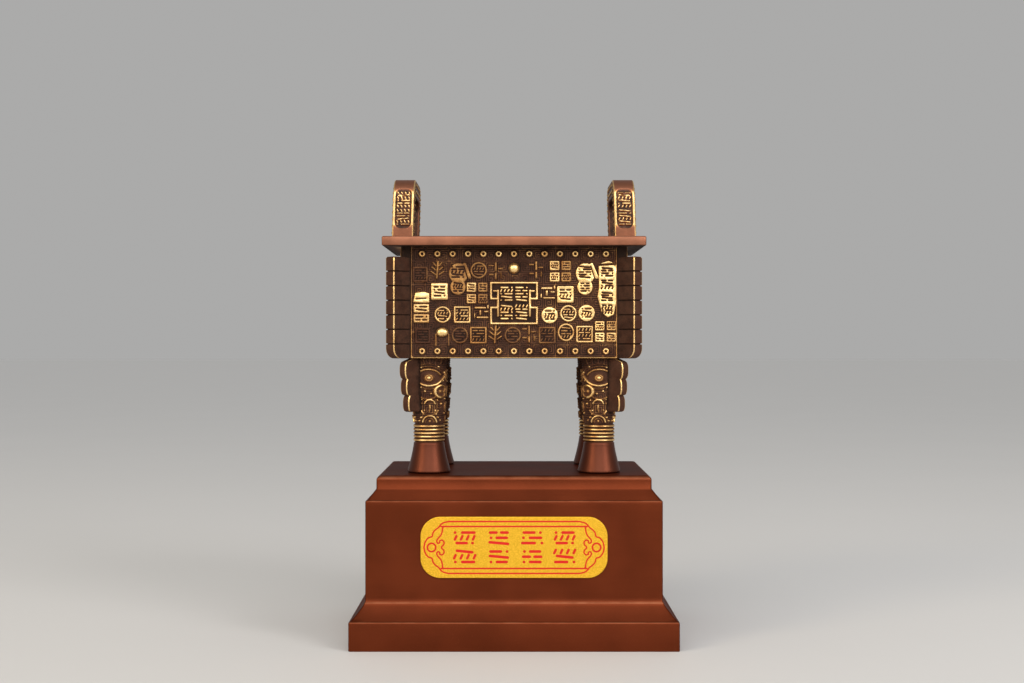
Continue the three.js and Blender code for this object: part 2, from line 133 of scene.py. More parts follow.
class DingStageSettings(bpy.types.PropertyGroup):
    """The camera and the lights."""

    camera_x: amount("Camera across", "Camera's place, left to right", -0.001, unit="LENGTH")
    camera_back: amount("Camera distance", "From the middle to the camera", 0.802, unit="LENGTH")
    camera_height: amount("Camera height", "Height of the level camera", 0.1496, unit="LENGTH")
    lens: amount("Lens", "Focal length on a 36 mm sensor", 54.14, unit="CAMERA")
    front: amount("Front light", "Power of the broad light behind the camera", 7.0, min=0.0, unit="POWER")
    left: amount("Left light", "Power of the warm light at the front left", 12.0, min=0.0, unit="POWER")
    right: amount("Right light", "Power of the light at the front right", 15.0, min=0.0, unit="POWER")
    high: amount("High light", "Strength of the soft light from high behind the camera", 1.14, min=0.0)
    world: amount("Surroundings", "Strength of the light from all round", 0.42)


def in_millimetres(group):
    """The lengths of a group of settings, in millimetres."""
    return SimpleNamespace(**{key: getattr(group, key) / MM for key in type(group).__annotations__})


def vessel_sizes(scene):
    """The vessel's sizes, and the heights of its main levels worked out from them."""
    v = in_millimetres(scene.ding_vessel)
    v.foot_z = VESSEL_LOW[2]
    v.body_z = v.foot_z + v.leg_height
    v.rim_z = v.body_z + v.body_height
    v.rim_top = v.rim_z + v.rim_height
    v.field_z = v.body_z + v.body_height / 2
    v.ear_rise = VESSEL_HIGH[2] - v.rim_top
    return v


# ---------------------------------------------------------------- flat shapes
EDGE = 0.34  # width of the soft cast slope round raised work, in millimetres
DARK = 0.02  # tone of a hollow, on a scale from dark patina at 0 to rubbed gold at 1


def smooth(t):
    t = np.clip(t, 0, 1)
    return t * t * (3 - 2 * t)


def quarter(steps):
    """Angles from nought to a quarter turn."""
    return np.linspace(0, np.pi / 2, steps)


def round_off(t, radius):
    """How far a rounded edge lies inside its two faces, at an angle round it."""
    return radius * (1 - math.cos(t)), radius * (1 - math.sin(t))


class Shape:
    """A flat shape: its signed distance in millimetres, below nought inside, and the box it lies in."""

    def __init__(self, distance, box):
        self.distance = distance
        self.box = box

    def inset(self, by):
        x0, x1, z0, z1 = self.box
        return Shape(lambda x, z: self.distance(x, z) + by, (x0 + by, x1 - by, z0 + by, z1 - by))

    def line(self, width):
        """A line of that width just inside the shape's edge."""
        return Shape(lambda x, z: np.abs(self.distance(x, z) + width / 2) - width / 2, self.box)


def block(x, z, width, height, corner=0.25):
    a, b = width / 2 - corner, height / 2 - corner

    def distance(px, pz):
        u, w = np.abs(px - x) - a, np.abs(pz - z) - b
        return np.hypot(np.maximum(u, 0), np.maximum(w, 0)) + np.minimum(np.maximum(u, w), 0) - corner

    return Shape(distance, (x - width / 2, x + width / 2, z - height / 2, z + height / 2))


def disc(x, z, width, height=None):
    a, b = width / 2, (height or width) / 2

    def distance(px, pz):
        return (np.hypot((px - x) / a, (pz - z) / b) - 1) * min(a, b)

    return Shape(distance, (x - a, x + a, z - b, z + b))


def stroke(start, end, width):
    (x0, z0), (x1, z1) = start, end
    run = np.array([x1 - x0, z1 - z0])
    along = max(float(run @ run), 1e-9)
    r = width / 2

    def distance(px, pz):
        t = np.clip(((px - x0) * run[0] + (pz - z0) * run[1]) / along, 0, 1)
        return np.hypot(px - x0 - t * run[0], pz - z0 - t * run[1]) - r

    box = (min(x0, x1) - r, max(x0, x1) + r, min(z0, z1) - r, max(z0, z1) + r)
    return Shape(distance, box)


def arc(x, z, radius, width, start, end):
    """A round-ended arc between two angles in degrees, anticlockwise."""
    middle, half = math.radians((start + end) / 2), math.radians((end - start) / 2)
    r = width / 2

    def distance(px, pz):
        turn = np.arctan2(pz - z, px - x) - middle
        turn = np.clip((turn + np.pi) % (2 * np.pi) - np.pi, -half, half) + middle
        return np.hypot(px - x - radius * np.cos(turn), pz - z - radius * np.sin(turn)) - r

    reach = radius + r
    return Shape(distance, (x - reach, x + reach, z - reach, z + reach))


def polygon(points):
    points = np.array(points, float)
    following = np.roll(points, -1, axis=0)

    def distance(px, pz):
        nearest = np.full(np.shape(px), np.inf)
        inside = np.zeros(np.shape(px), bool)
        for (x0, z0), (x1, z1) in zip(points, following):
            nearest = np.minimum(nearest, stroke((x0, z0), (x1, z1), 0).distance(px, pz))
            crosses = (z0 > pz) != (z1 > pz)
            with np.errstate(divide="ignore", invalid="ignore"):
                inside ^= crosses & (px < (x1 - x0) * (pz - z0) / (z1 - z0) + x0)
        return np.where(inside, -nearest, nearest)

    low, high = points.min(0), points.max(0)
    return Shape(distance, (low[0], high[0], low[1], high[1]))


def joined(*shapes):
    boxes = np.array([shape.box for shape in shapes])
    box = (boxes[:, 0].min(), boxes[:, 1].max(), boxes[:, 2].min(), boxes[:, 3].max())
    return Shape(lambda x, z: np.minimum.reduce([shape.distance(x, z) for shape in shapes]), box)


def mottle(x, z, size, seed, cells=64, shift=1000):
    """Soft random patches from 0 to 1, about that many millimetres across."""
    lattice = np.random.default_rng(seed).random((cells, cells))
    u, w = np.broadcast_arrays(x / size + shift, z / size + shift)
    i, j = np.floor(u).astype(int), np.floor(w).astype(int)
    s, t = smooth(u - i), smooth(w - j)
    near = [[lattice[(i + a) % cells, (j + b) % cells] for a in (0, 1)] for b in (0, 1)]
    low, high = (first + s * (second - first) for first, second in near)
    return low + t * (high - low)


class Relief:
    """A wall drawn as heights over a grid. What is laid on it later covers what was there."""

    def __init__(self, x, z):
        self.x, self.z = x, z
        self.rise = np.zeros((len(z), len(x)))
        self.gold = np.zeros((len(z), len(x)))

    def lay(self, shape, rise, gold, edge=EDGE):
        """Brings the surface to a level, and to a tone, inside a shape. The level may be a function."""
        x0, x1, z0, z1 = shape.box
        columns = slice(*np.searchsorted(self.x, [x0 - edge, x1 + edge]))
        rows = slice(*np.searchsorted(self.z, [z0 - edge, z1 + edge]))
        if columns.start == columns.stop or rows.start == rows.stop:
            return
        x, z = np.meshgrid(self.x[columns], self.z[rows])
        cover = smooth(0.5 - shape.distance(x, z) / edge)
        level = rise(x, z) if callable(rise) else rise
        self.rise[rows, columns] += cover * (level - self.rise[rows, columns])
        self.gold[rows, columns] += cover * (gold - self.gold[rows, columns])

    def dome(self, x, z, width, height, rise, gold, base=0.0):
        """A round boss like half a ball."""

        def level(px, pz):
            out = np.hypot((px - x) * 2 / width, (pz - z) * 2 / height)
            return base + rise * np.sqrt(np.clip(1 - out**2, 0, 1))

        self.lay(disc(x, z, width, height), level, gold, edge=0.2)


# ---------------------------------------------------------------- seals and motifs
BORDER = 0.85  # width of a seal's raised border
SUNK = 0.22  # level of a seal's hollow middle
INCISED = 0.42  # depth of strokes cut into a filled seal
PEN = 0.62  # width of a stroke in a seal
PITCH = 1.32  # height of a row of strokes in a seal
PEN_EDGE = 0.26  # width of the slope beside a stroke in a seal
RING_LEVEL, RING_EDGE = -0.1, 0.6  # the dark ring sunk round a boss: a shallow recess in dark patina, also painted shade round the boss
FIELD_LINE, FIELD_LINE_WIDTH, FOOT_LINE_WIDTH = 0.55, 0.62, 0.7  # the thin lines round a wall's field
ROW_KINDS = 5


def row_of_strokes(kind, x, z, width, pitch, pen):
    """One row of short strokes that aren't letters."""
    half = max(width / 2 - pen / 2, pen)
    gap, tall, lean = pen * 0.85, pitch * 0.34, pitch * 0.16
    if kind == 2:
        return [
            stroke((x + k * half - lean, z - tall), (x + k * half + lean, z + tall), pen * 0.9)
            for k in (-1, -0.33, 0.33, 1)[:: 1 if width > 5 * pen else 3]
        ]
    if kind == 4:
        return [stroke((x - half * 0.9, z + lean), (x + half * 0.9, z - lean), pen)]
    levels = {
        0: ((x - half, x + half * 0.25), (x + half - 0.1, x + half)),
        1: ((x - half, x - gap), (x + gap, x + half)),
        3: ((x - half, x - half + 0.1), (x - half * 0.25, x + half)),
    }
    return [stroke((start, z), (end, z), pen) for start, end in levels[kind]]


def strokes(rng, x, z, width, height, pitch=PITCH, pen=PEN):
    """Rows of short strokes, no two neighbouring rows alike."""
    found = []
    rows = max(2, round(height / pitch))
    kind = rng.integers(ROW_KINDS)
    for row in range(rows):
        level = z + height / 2 - (row + 0.5) * height / rows
        found += row_of_strokes(kind, x, level, width, height / rows, pen)
        kind = (kind + rng.integers(1, ROW_KINDS)) % ROW_KINDS
    return found


class Spot:
    """A place on a relief where a motif is drawn about its own middle, at its own level and tone."""

    def __init__(self, relief, rng, x, z, gold, rise):
        self.relief, self.rng = relief, rng
        self.x, self.z = x, z
        self.gold, self.rise = gold, rise

    def at(self, u, w):
        return self.x + u, self.z + w

    def lay(self, shape, rise=None, gold=None, edge=EDGE):
        rise = self.rise if rise is None else rise
        gold = self.gold if gold is None else gold
        self.relief.lay(shape, rise, gold, edge)

    def lines(self, marks, rise=None, gold=None):
        """Strokes, each given by its two ends and its width."""
        for start, end, width in marks:
            self.lay(stroke(self.at(*start), self.at(*end), width), rise, gold)

    def outline(self, points):
        self.lay(polygon([self.at(u, w) for u, w in points]))

    def marks(self, u, w, width, height, rise=None, gold=DARK, edge=PEN_EDGE, **pen):
        """Rows of strokes about a point, cut in if no level is given."""
        rise = self.rise - INCISED if rise is None else rise
        for mark in strokes(self.rng, *self.at(u, w), width, height, **pen):
            self.lay(mark, rise, gold, edge)

    def ring(self, width, height):
        """The dark ring round a boss: a shallow recess in dark patina that also paints the boss's shade."""
        self.lay(disc(self.x, self.z, width, height), RING_LEVEL, DARK, RING_EDGE)

    def dome(self, width, height, rise):
        self.relief.dome(self.x, self.z, width, height, rise, self.gold)


def seal(spot, shape, width, height, filled):
    """A seal: a border round raised strokes on a sunk middle, or a filled tablet with cut strokes."""
    spot.lay(shape)
    if filled:
        spot.marks(0, 0, width, height, pen=0.78)
    else:
        spot.lay(shape.inset(BORDER), SUNK, DARK)
        spot.marks(0, 0, width, height, spot.rise - 0.1, 0.92 * spot.gold)


def square_seal(spot, side=8.3, filled=False):
    inner = side - 2 * BORDER - 0.7
    seal(spot, block(spot.x, spot.z, side, side, 0.5), inner, inner, filled)


def round_seal(spot, width=8.2, height=8.2, filled=False):
    seal(spot, disc(spot.x, spot.z, width, height), 0.62 * width, 0.66 * height, filled)


def four_tiles(spot, side=4.7, step=5.7, duller=0.72):
    """Four small tablets in a square, the left-hand ones rubbed brighter."""
    for column in (-0.5, 0.5):
        for row in (-0.5, 0.5):
            place = (column * step, row * step)
            tile = block(*spot.at(*place), side, side, 0.4)
            spot.lay(tile, gold=spot.gold * (1 if column < 0 else duller))
            spot.marks(*place, side - 1.2, side - 1.1, edge=0.24, pitch=1.2, pen=0.58)


def gourd_seal(spot):
    """A tablet shaped like a gourd, with a leaf off its right shoulder."""
    spot.lay(joined(disc(*spot.at(0, 2.4), 9.6, 10.4), disc(*spot.at(-0.3, -4.3), 7.6, 7.9)))
    spot.lines([((3.0, 6.9), (5.5, 0.5), 1.7)])
    spot.lines([((2.6, 6.0), (4.4, 0.3), 0.45)], 0.2, DARK)
    spot.marks(-0.4, 3.1, 6.4, 6.4, pen=0.76)
    spot.marks(-0.3, -4.4, 4.8, 5.1, pen=0.76)


TALL_SLAB = [
    (-3.9, 0), (-4.6, -3.5), (-2.5, -11.5), (0.5, -14), (3.6, -12.5), (4.6, -7.5), (4.6, 12.2), (-4, 11.7),
]
SLIVER = [(-4.1, 12.6), (4, 13), (0.8, 14.3)]
SLAB_CAP = [(-4.1, 2.6), (4, 2.4), (4, 7), (1.5, 7.9), (-3, 7.4)]


def tall_slab(spot):
    """A tall broken slab with a sliver above it, cut with rows of strokes."""
    spot.outline(TALL_SLAB)
    spot.outline(SLIVER)
    for row in range(4):
        spot.marks(0.2, 8.6 - 6.1 * row, 6.2 - 0.9 * (row == 3), 4.9, pen=0.86)


def short_slab(spot):
    """A shorter slab parted by two grooves, brighter towards its top."""
    spot.outline(SLAB_CAP)
    spot.lines([((-2.6, 4.3), (2.4, 4.6), 0.6)], spot.rise - INCISED, DARK)
    for low, tone in ((-0.4, 0.85), (-5.4, 0.75)):
        spot.lay(block(*spot.at(0, low), 7.8, 4.3, 0.6), gold=spot.gold * tone)
        spot.marks(0, low, 6.1, 3.1, pen=0.74)


def ball(spot):
    """A smooth boss like half a ball in a dark ring."""
    spot.ring(7.0, 7.0)
    spot.dome(5.3, 5.3, 2.5)


def low_ball(spot):
    """A broad low boss on two short legs, in a dark ring."""
    spot.ring(7.6, 6.2)
    spot.lines([((side * 3.2, -1), (side * 3.2, -6.5), 0.7) for side in (-1, 1)], spot.rise * 0.7, 0.5)
    spot.dome(6.1, 4.6, 2.0)


def sprig(spot):
    """A twig: a leaning stem with three pairs of short branches."""
    spot.lines([((-0.3, -4.4), (0.3, 3.9), 0.85)])
    for k, low in enumerate((-2.6, -0.4, 1.8)):
        reach = 3.1 - 0.45 * k
        spot.lines([((side * 0.9, low), (side * reach, low + 1.5), 0.7) for side in (-1, 1)])


# Loose dashes that don't touch: two ends and a width for each.
UPRIGHT_AND_LEVEL = [
    ((0, -4.2), (0, -1.6), 0.9), ((0, -0.2), (0, 3.6), 0.9), ((-3.2, 2.3), (-1.4, 2.3), 0.75),
    ((1.4, 0.9), (3.1, 0.9), 0.75), ((-3.1, -2.1), (-1.4, -2.1), 0.75), ((2.6, -1.4), (2.6, -3.4), 0.6),
]
MOSTLY_LEVEL = [
    ((-2.9, 2.4), (1.9, 2.4), 0.9), ((-1.9, -2.4), (3.1, -2.4), 0.9), ((-0.5, 0.9), (-0.5, -0.9), 0.9),
    ((1.6, 0.5), (3.2, 0.5), 0.7), ((3.3, 3.5), (3.3, 2.2), 0.65), ((-3.3, -0.6), (-3.3, -2.2), 0.65),
]


def dashes(spot, marks=UPRIGHT_AND_LEVEL):
    spot.lines(marks, spot.rise * 0.95)


def middle_frame(spot, width=23.8, height=21.2, notch=3.5, line=0.95):
    """A rectangle notched at both sides round four blocks of raised strokes."""
    w, h, n = width / 2, height / 2, notch / 2
    right = [(w, -h), (w, -n), (w - notch, -n), (w - notch, n), (w, n), (w, h)]
    border = polygon([spot.at(u, t) for u, t in right + [(-u, -t) for u, t in right]])
    spot.lay(border, spot.rise * 1.15)
    spot.lay(border.inset(line), 0.08, DARK)
    bar = w - notch - line / 2
    for side in (-1, 1):
        spot.lines([((side * bar, -6.3), (side * bar, 6.3), line)])
        spot.lines([((side * bar, 6.0), (side * (bar + 2.1), 6.0), line * 0.9)], gold=spot.gold * 0.9)
        for up in (-1, 1):
            spot.marks(side * 3.7, up * 4.6, 6.3, 7.8, spot.rise * 1.1, spot.gold, EDGE, pitch=1.6, pen=0.9)


def stud(relief, x, z, gold):
    """A round stud with a pierced crown, in a dark ring that also paints the stud's shade."""
    relief.lay(disc(x, z, 4.6), -0.12, DARK, edge=RING_EDGE)
    relief.lay(disc(x, z, 3.3), 1.15, gold, edge=0.75)
    relief.lay(disc(x, z, 1.25), 0.45, DARK, edge=0.5)


small_square, filled_square = partial(square_seal, side=7.5), partial(square_seal, filled=True)
tall_round, filled_round = partial(round_seal, height=8.9), partial(round_seal, filled=True)
level_dashes = partial(dashes, marks=MOSTLY_LEVEL)

# The front wall's seals: kind, place across, height from the middle, and how far each is rubbed to gold.
FRONT = [
    (small_square, -46.5, 14, 0.34), (sprig, -38, 16.5, 0.5), (gourd_seal, -27.5, 12, 0.56),
    (round_seal, -17.5, 16, 0.52), (dashes, -9, 16, 0.5), (ball, 0, 17, 1.0), (dashes, 11, 16.5, 0.55),
    (four_tiles, 23, 15.5, 0.86), (gourd_seal, 35.5, 12, 0.95), (tall_slab, 46, 6.5, 1.0),
    (filled_square, -37, 5.5, 0.95), (four_tiles, -18.3, 4.7, 0.8), (middle_frame, 0, -0.3, 0.9),
    (level_dashes, 16.8, 4.7, 0.8), (filled_square, 25.5, 4, 0.98), (short_slab, -46, -2.5, 0.92),
    (round_seal, -35.4, -6, 0.85), (square_seal, -25.7, -6, 0.88), (level_dashes, -16.2, -5, 0.82),
    (filled_round, 17.7, -6.3, 0.88), (round_seal, 27, -5.4, 0.88), (filled_round, 36, -5.2, 0.95),
    (small_square, -45.3, -16.5, 0.24), (low_ball, -35.6, -14.8, 1.0), (round_seal, -26.8, -16.2, 0.42),
    (square_seal, -17.7, -16.2, 0.62), (sprig, -9.3, -15.6, 0.62), (round_seal, -0.6, -16.2, 0.4),
    (dashes, 7.5, -15.4, 0.5), (square_seal, 16.4, -16.2, 0.45), (tall_round, 25.8, -14.8, 0.7),
    (square_seal, 35, -15.7, 0.88), (four_tiles, 45.4, -14.4, 0.92),
]


# ---------------------------------------------------------------- walls
FRONT_GROUND, PLAIN_GROUND = (0.98, 0.36), (1.7, 0.24)  # pitch and rise of the ground's spirals
COARSER = 1.7  # spacing of the grid on the plain walls, against the front wall's
STUD_PITCH, STUD_EDGE = 7.6, 3.6
FRONT_GOLD, PLAIN_GOLD = 0.8, 0.7  # how far the studs are rubbed
FRONT_STUDS, END_STUDS = 13, 8
FRONT_SEED, BACK_SEED, RIGHT_SEED, LEFT_SEED = 11, 12, 13, 14
WEAR_SEED = 10  # added to a wall's seed for its wear
PAINTED_LIGHT_RIGHT = 0.06  # painted light: how much brighter the front wall's raised work is painted towards the right, where the light falls
FILLED_SHARE = 0.35  # share of the plain tablets that are filled


def thunder_ground(relief, pitch, rise):
    """Fine square spirals, laid side by side and mirrored in turn, as the ground of a wall."""
    cell = 6 * pitch
    x, z = np.meshgrid(relief.x, relief.z)
    column, row = np.floor(x / cell + 0.5), np.floor(z / cell + 0.5)
    u = (x - column * cell) * np.where((column + row) % 2 == 0, 1, -1)
    w = (z - row * cell) * np.where(row % 2 == 0, 1, -1)
    lower = np.maximum(np.abs(u), np.abs(w)) / pitch
    upper = np.maximum(np.abs(u - pitch / 2), np.abs(w)) / pitch - 0.5
    crest = 0.5 + 0.5 * np.cos(2 * np.pi * np.where(w < 0, lower, upper))
    relief.rise += rise * (crest - 0.5)
    relief.gold += crest**2 * (0.20 + 0.34 * mottle(x, z, 5.0, 3))


def wall_field(relief, half_width, half_height, ground):
    """The ground of one wall, and the thin lines along its sides and foot."""
    thunder_ground(relief, *ground)
    x = np.meshgrid(relief.x, relief.z)[0]
    outside = smooth((np.abs(x) - half_width) / 0.3 + 0.5)
    relief.rise *= 1 - outside
    relief.gold *= 1 - 0.6 * outside
    for side in (-1, 1):
        ends = [(side * half_width, up * half_height) for up in (-1, 1)]
        relief.lay(stroke(*ends, FIELD_LINE_WIDTH), FIELD_LINE, 0.62)
    foot = block(0, -half_height + FOOT_LINE_WIDTH / 2, 2 * half_width, FOOT_LINE_WIDTH, 0.1)
    relief.lay(foot, FIELD_LINE, 0.85)


def plain_tablets(relief, rng, rise, columns, step, row_step, clear):
    """Three rows of square and round seals in turn, as on the walls that turn away."""
    for row in range(3):
        for column in range(columns):
            x, z = (column - (columns - 1) / 2) * step, (1 - row) * row_step
            if abs(x) < clear and row == 1:
                continue
            kind = (square_seal, round_seal)[(row + column) % 2]
            gold = 0.45 + 0.4 * rng.random()
            kind(Spot(relief, rng, x, z, gold, rise), filled=bool(rng.random() < FILLED_SHARE))


def patchy_wear_and_painted_light(relief, seed, painted_light_right):
    """Makes the rubbing patchy, and paints the raised work a little brighter towards the right as painted
    light.
    """
    x, z = np.meshgrid(relief.x, relief.z)
    patches = 0.6 * mottle(x, z, 9.0, seed) + 0.4 * mottle(x, z, 2.2, seed + 1)
    # Patchy wear, times painted light that grows towards the right.
    relief.gold *= 0.78 + 0.4 * patches + painted_light_right * x / relief.x[-1]


def spaced(width, step):
    return np.linspace(-width / 2, width / 2, int(round(width / step)) + 1)


def draw_front(relief, rng, rise):
    for kind, x, z, gold in FRONT:
        kind(Spot(relief, rng, x, z, gold, rise))


def draw_back(relief, rng, rise):
    plain_tablets(relief, rng, rise, 8, 12.4, 15.2, 14)
    middle_frame(Spot(relief, rng, 0, 0, 0.75, rise))


def draw_end(relief, rng, rise):
    plain_tablets(relief, rng, rise, 5, 12.6, 13.4, 0)


def carved_wall(v, draw, seed, columns, rows, half_width, ground, studs, gold=PLAIN_GOLD, brighter=0.0):
    """One wall: its ground, what a drawing puts on it, two rows of studs and the wear, with painted light
    brighter towards the right when given.
    """
    rng = np.random.default_rng(seed)
    relief = Relief(columns, rows)
    half_height = v.body_height / 2
    wall_field(relief, half_width, half_height, ground)
    draw(relief, rng, v.seal_rise)
    for row in (-1, 1):
        for k in range(studs):
            stud(relief, (k - (studs - 1) / 2) * STUD_PITCH, row * (half_height - STUD_EDGE), gold)
    patchy_wear_and_painted_light(relief, seed + WEAR_SEED, brighter)
    return relief


# ---------------------------------------------------------------- meshes
def grid_faces(columns, rows, closed=True):
    """Four-sided faces between neighbouring points of a grid, row by row."""
    i, j = np.meshgrid(np.arange(columns if closed else columns - 1), np.arange(rows - 1))
    right = (i + 1) % columns
    cells = [j * columns + i, j * columns + right, (j + 1) * columns + right, (j + 1) * columns + i]
    return np.stack(cells, -1).reshape(-1, 4)


def closed_faces(columns, rows, inside_out=False):
    """Faces of a grid that closes on itself, and of its two flat ends."""
    ends = [np.arange(columns)[None, ::-1], (rows - 1) * columns + np.arange(columns)[None]]
    groups = [grid_faces(columns, rows), *ends]
    return [group[:, ::-1] for group in groups] if inside_out else groups


def new_piece(name, points, faces, materials, gold=0.0, material=0, **values):
    """A mesh object from points in millimetres, with the tone of each point and its finishes."""
    mesh = bpy.data.meshes.new(name)
    points = np.asarray(points, float).reshape(-1, 3)
    groups = [np.asarray(group) for group in faces]
    sizes = np.concatenate([np.full(len(group), group.shape[1]) for group in groups])
    mesh.vertices.add(len(points))
    mesh.vertices.foreach_set("co", (points * MM).ravel())
    mesh.loops.add(int(sizes.sum()))
    mesh.loops.foreach_set("vertex_index", np.concatenate([group.ravel() for group in groups]))
    mesh.polygons.add(len(sizes))
    mesh.polygons.foreach_set("loop_start", np.concatenate([[0], np.cumsum(sizes)[:-1]]))
    mesh.polygons.foreach_set("material_index", np.full(len(sizes), material))
    mesh.update(calc_edges=True)
    mesh.validate()
    for key, value in {"gold": gold, **values}.items():
        attribute = mesh.attributes.new(key, "FLOAT", "POINT")
        attribute.data.foreach_set("value", np.broadcast_to(value, len(points)).astype(np.float32).ravel())
    for finish in materials:
        mesh.materials.append(finish)
    piece = bpy.data.objects.new(name, mesh)
    bpy.context.scene.collection.objects.link(piece)
    return piece


def finish_piece(piece, slot, *nodes, sharp):
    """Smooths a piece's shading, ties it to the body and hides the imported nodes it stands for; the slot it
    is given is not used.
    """
    mesh = piece.data
    mesh.polygons.foreach_set("use_smooth", np.ones(len(mesh.polygons), bool))
    mesh.set_sharp_from_angle(angle=math.radians(sharp))
    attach(piece, BODY)
    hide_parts(*nodes)


def apply_modifier(piece, kind, **settings):
    modifier = piece.modifiers.new(kind.lower(), kind)
    for key, value in settings.items():
        setattr(modifier, key, value)
    with bpy.context.temp_override(object=piece, active_object=piece):
        bpy.ops.object.modifier_apply(modifier=modifier.name)


def combine(piece, tool, operation="UNION"):
    """Joins a closed piece with another, or cuts it, and uses the other up."""
    apply_modifier(piece, "BOOLEAN", solver="MANIFOLD", operation=operation, object=tool)
    bpy.data.objects.remove(tool)


def join_pieces(pieces):
    """One object from several that don't touch."""
    first = pieces[0]
    with bpy.context.temp_override(active_object=first, selected_editable_objects=pieces):
        bpy.ops.object.join()
    return first


def move_points(mesh, moved):
    """Passes the places of a mesh's points through a function."""
    places = np.zeros(3 * len(mesh.vertices), np.float32)
    mesh.vertices.foreach_get("co", places)
    mesh.vertices.foreach_set("co", moved(places.reshape(-1, 3)).ravel())
    mesh.update()


def corner_copies(piece, x, y):
    """A piece made for the corner at +x and +y, and its mirror images at the other three."""
    copies = []
    for sx, sy in ((1, 1), (-1, 1), (1, -1), (-1, -1)):
        copy = bpy.data.objects.new(piece.name, piece.data.copy())
        bpy.context.scene.collection.objects.link(copy)
        if sx * sy < 0:
            copy.data.flip_normals()
        move_points(copy.data, lambda places: (places + np.array([x, y, 0]) * MM) * [sx, sy, 1])
        copies.append(copy)
    bpy.data.objects.remove(piece)
    return copies


def turn_about_z(piece, degrees, lift):
    cos, sin = math.cos(math.radians(degrees)), math.sin(math.radians(degrees))

    def turned(places):
        x, y, z = places.T
        return np.stack([x * cos - y * sin, x * sin + y * cos, z + lift * MM], -1)

    move_points(piece.data, turned)


def rounded_outline(half_width, half_depth, corner, steps=5):
    """A rectangle with round corners, seen from above, anticlockwise."""
    points = []
    for turn, (sx, sy) in enumerate(((1, 1), (-1, 1), (-1, -1), (1, -1))):
        angle = quarter(steps) + turn * np.pi / 2
        x = sx * (half_width - corner) + corner * np.cos(angle)
        y = sy * (half_depth - corner) + corner * np.sin(angle)
        points.append(np.stack([x, y], -1))
    return np.concatenate(points)


def rounding(z, half_width, half_depth, edge, upper, steps=5, wear=0.0):
    """Levels that round the outer edge over or under a slab, rubbed and painted with a highlight at the
    middle of the curve.
    """
    found = []
    for t in quarter(steps):
        inset, shift = round_off(t, edge)
        # Rubbing and a painted highlight, strongest at the middle of the curve.
        worn = wear * math.sin(2 * t) ** 2
        found.append((z - shift if upper else z + shift, half_width - inset, half_depth - inset, worn))
    return found if upper else found[::-1]


def loft(name, levels, corner, materials, side_steps, material=0):
    """A closed block with round corners, from levels of height, half width, half depth and perhaps tone."""
    rings, tones = [], []
    for z, half_width, half_depth, *tone in levels:
        ring = rounded_outline(half_width, half_depth, corner)
        parts = []
        for a, b in zip(ring, np.roll(ring, -1, axis=0)):
            count = side_steps if np.hypot(*(b - a)) > 10 * corner else 1
            parts.append(a + np.arange(count)[:, None] / count * (b - a))
        ring = np.concatenate(parts)
        rings.append(np.column_stack([ring, np.full(len(ring), z)]))
        tones += [tone[0] if tone else 0.0] * len(ring)
    faces = closed_faces(len(rings[0]), len(levels))
    return new_piece(name, np.concatenate(rings), faces, materials, tones, material)


def upright_fin(name, rows, reach, thick, root, materials, side=0.12, end=0.2, arris_wear_and_sheen=0.85, arris=0.4):
    """A fin in the plane of x and z: a section with eased arrises, stacked over rows of height.

    Its reach and thickness change with height. The eased arrises are rubbed bright and painted as edge
    highlights.
    """
    inside = 0.12
    points, tones = [], []
    for z, r, h in zip(rows, reach, thick / 2):
        flat = r - arris - root
        near = [(root + t * flat, h, side) for t in (0, 0.3, 0.6, 0.85)]
        near.append((root + flat - inside, h, side))
        # The eased arris: rubbed bright, with a painted edge highlight.
        near += [
            (r - arris + arris * math.sin(t), h - arris + arris * math.cos(t), arris_wear_and_sheen) for t in quarter(4)
        ]
        near += [(r, h - arris - inside, end), (r, h * 0.3, end)]
        ring = near + [(x, -y, tone) for x, y, tone in reversed(near)]
        points += [(x, y, z) for x, y, tone in ring]
        tones += [tone for x, y, tone in ring]
    faces = closed_faces(len(points) // len(rows), len(rows), inside_out=True)
    return new_piece(name, points, faces, materials, tones)


# ---------------------------------------------------------------- bowl
RELIEF, SATIN, INSIDE = range(3)  # places of the vessel's finishes on its pieces
BODY_TRIANGLES, RIM_AND_FLANGES = 190000, 24000
FIELD_FRONT, FIELD_END = 50.9, 32.4  # half widths of the grounds
RIM_EDGE, RIM_CORNER, RIM_STEPS = 0.7, 0.9, 24
FLOOR_CURVE, LIP, HOLLOW_CORNER, HOLLOW_STEPS = 3, 0.6, 3.5, 12


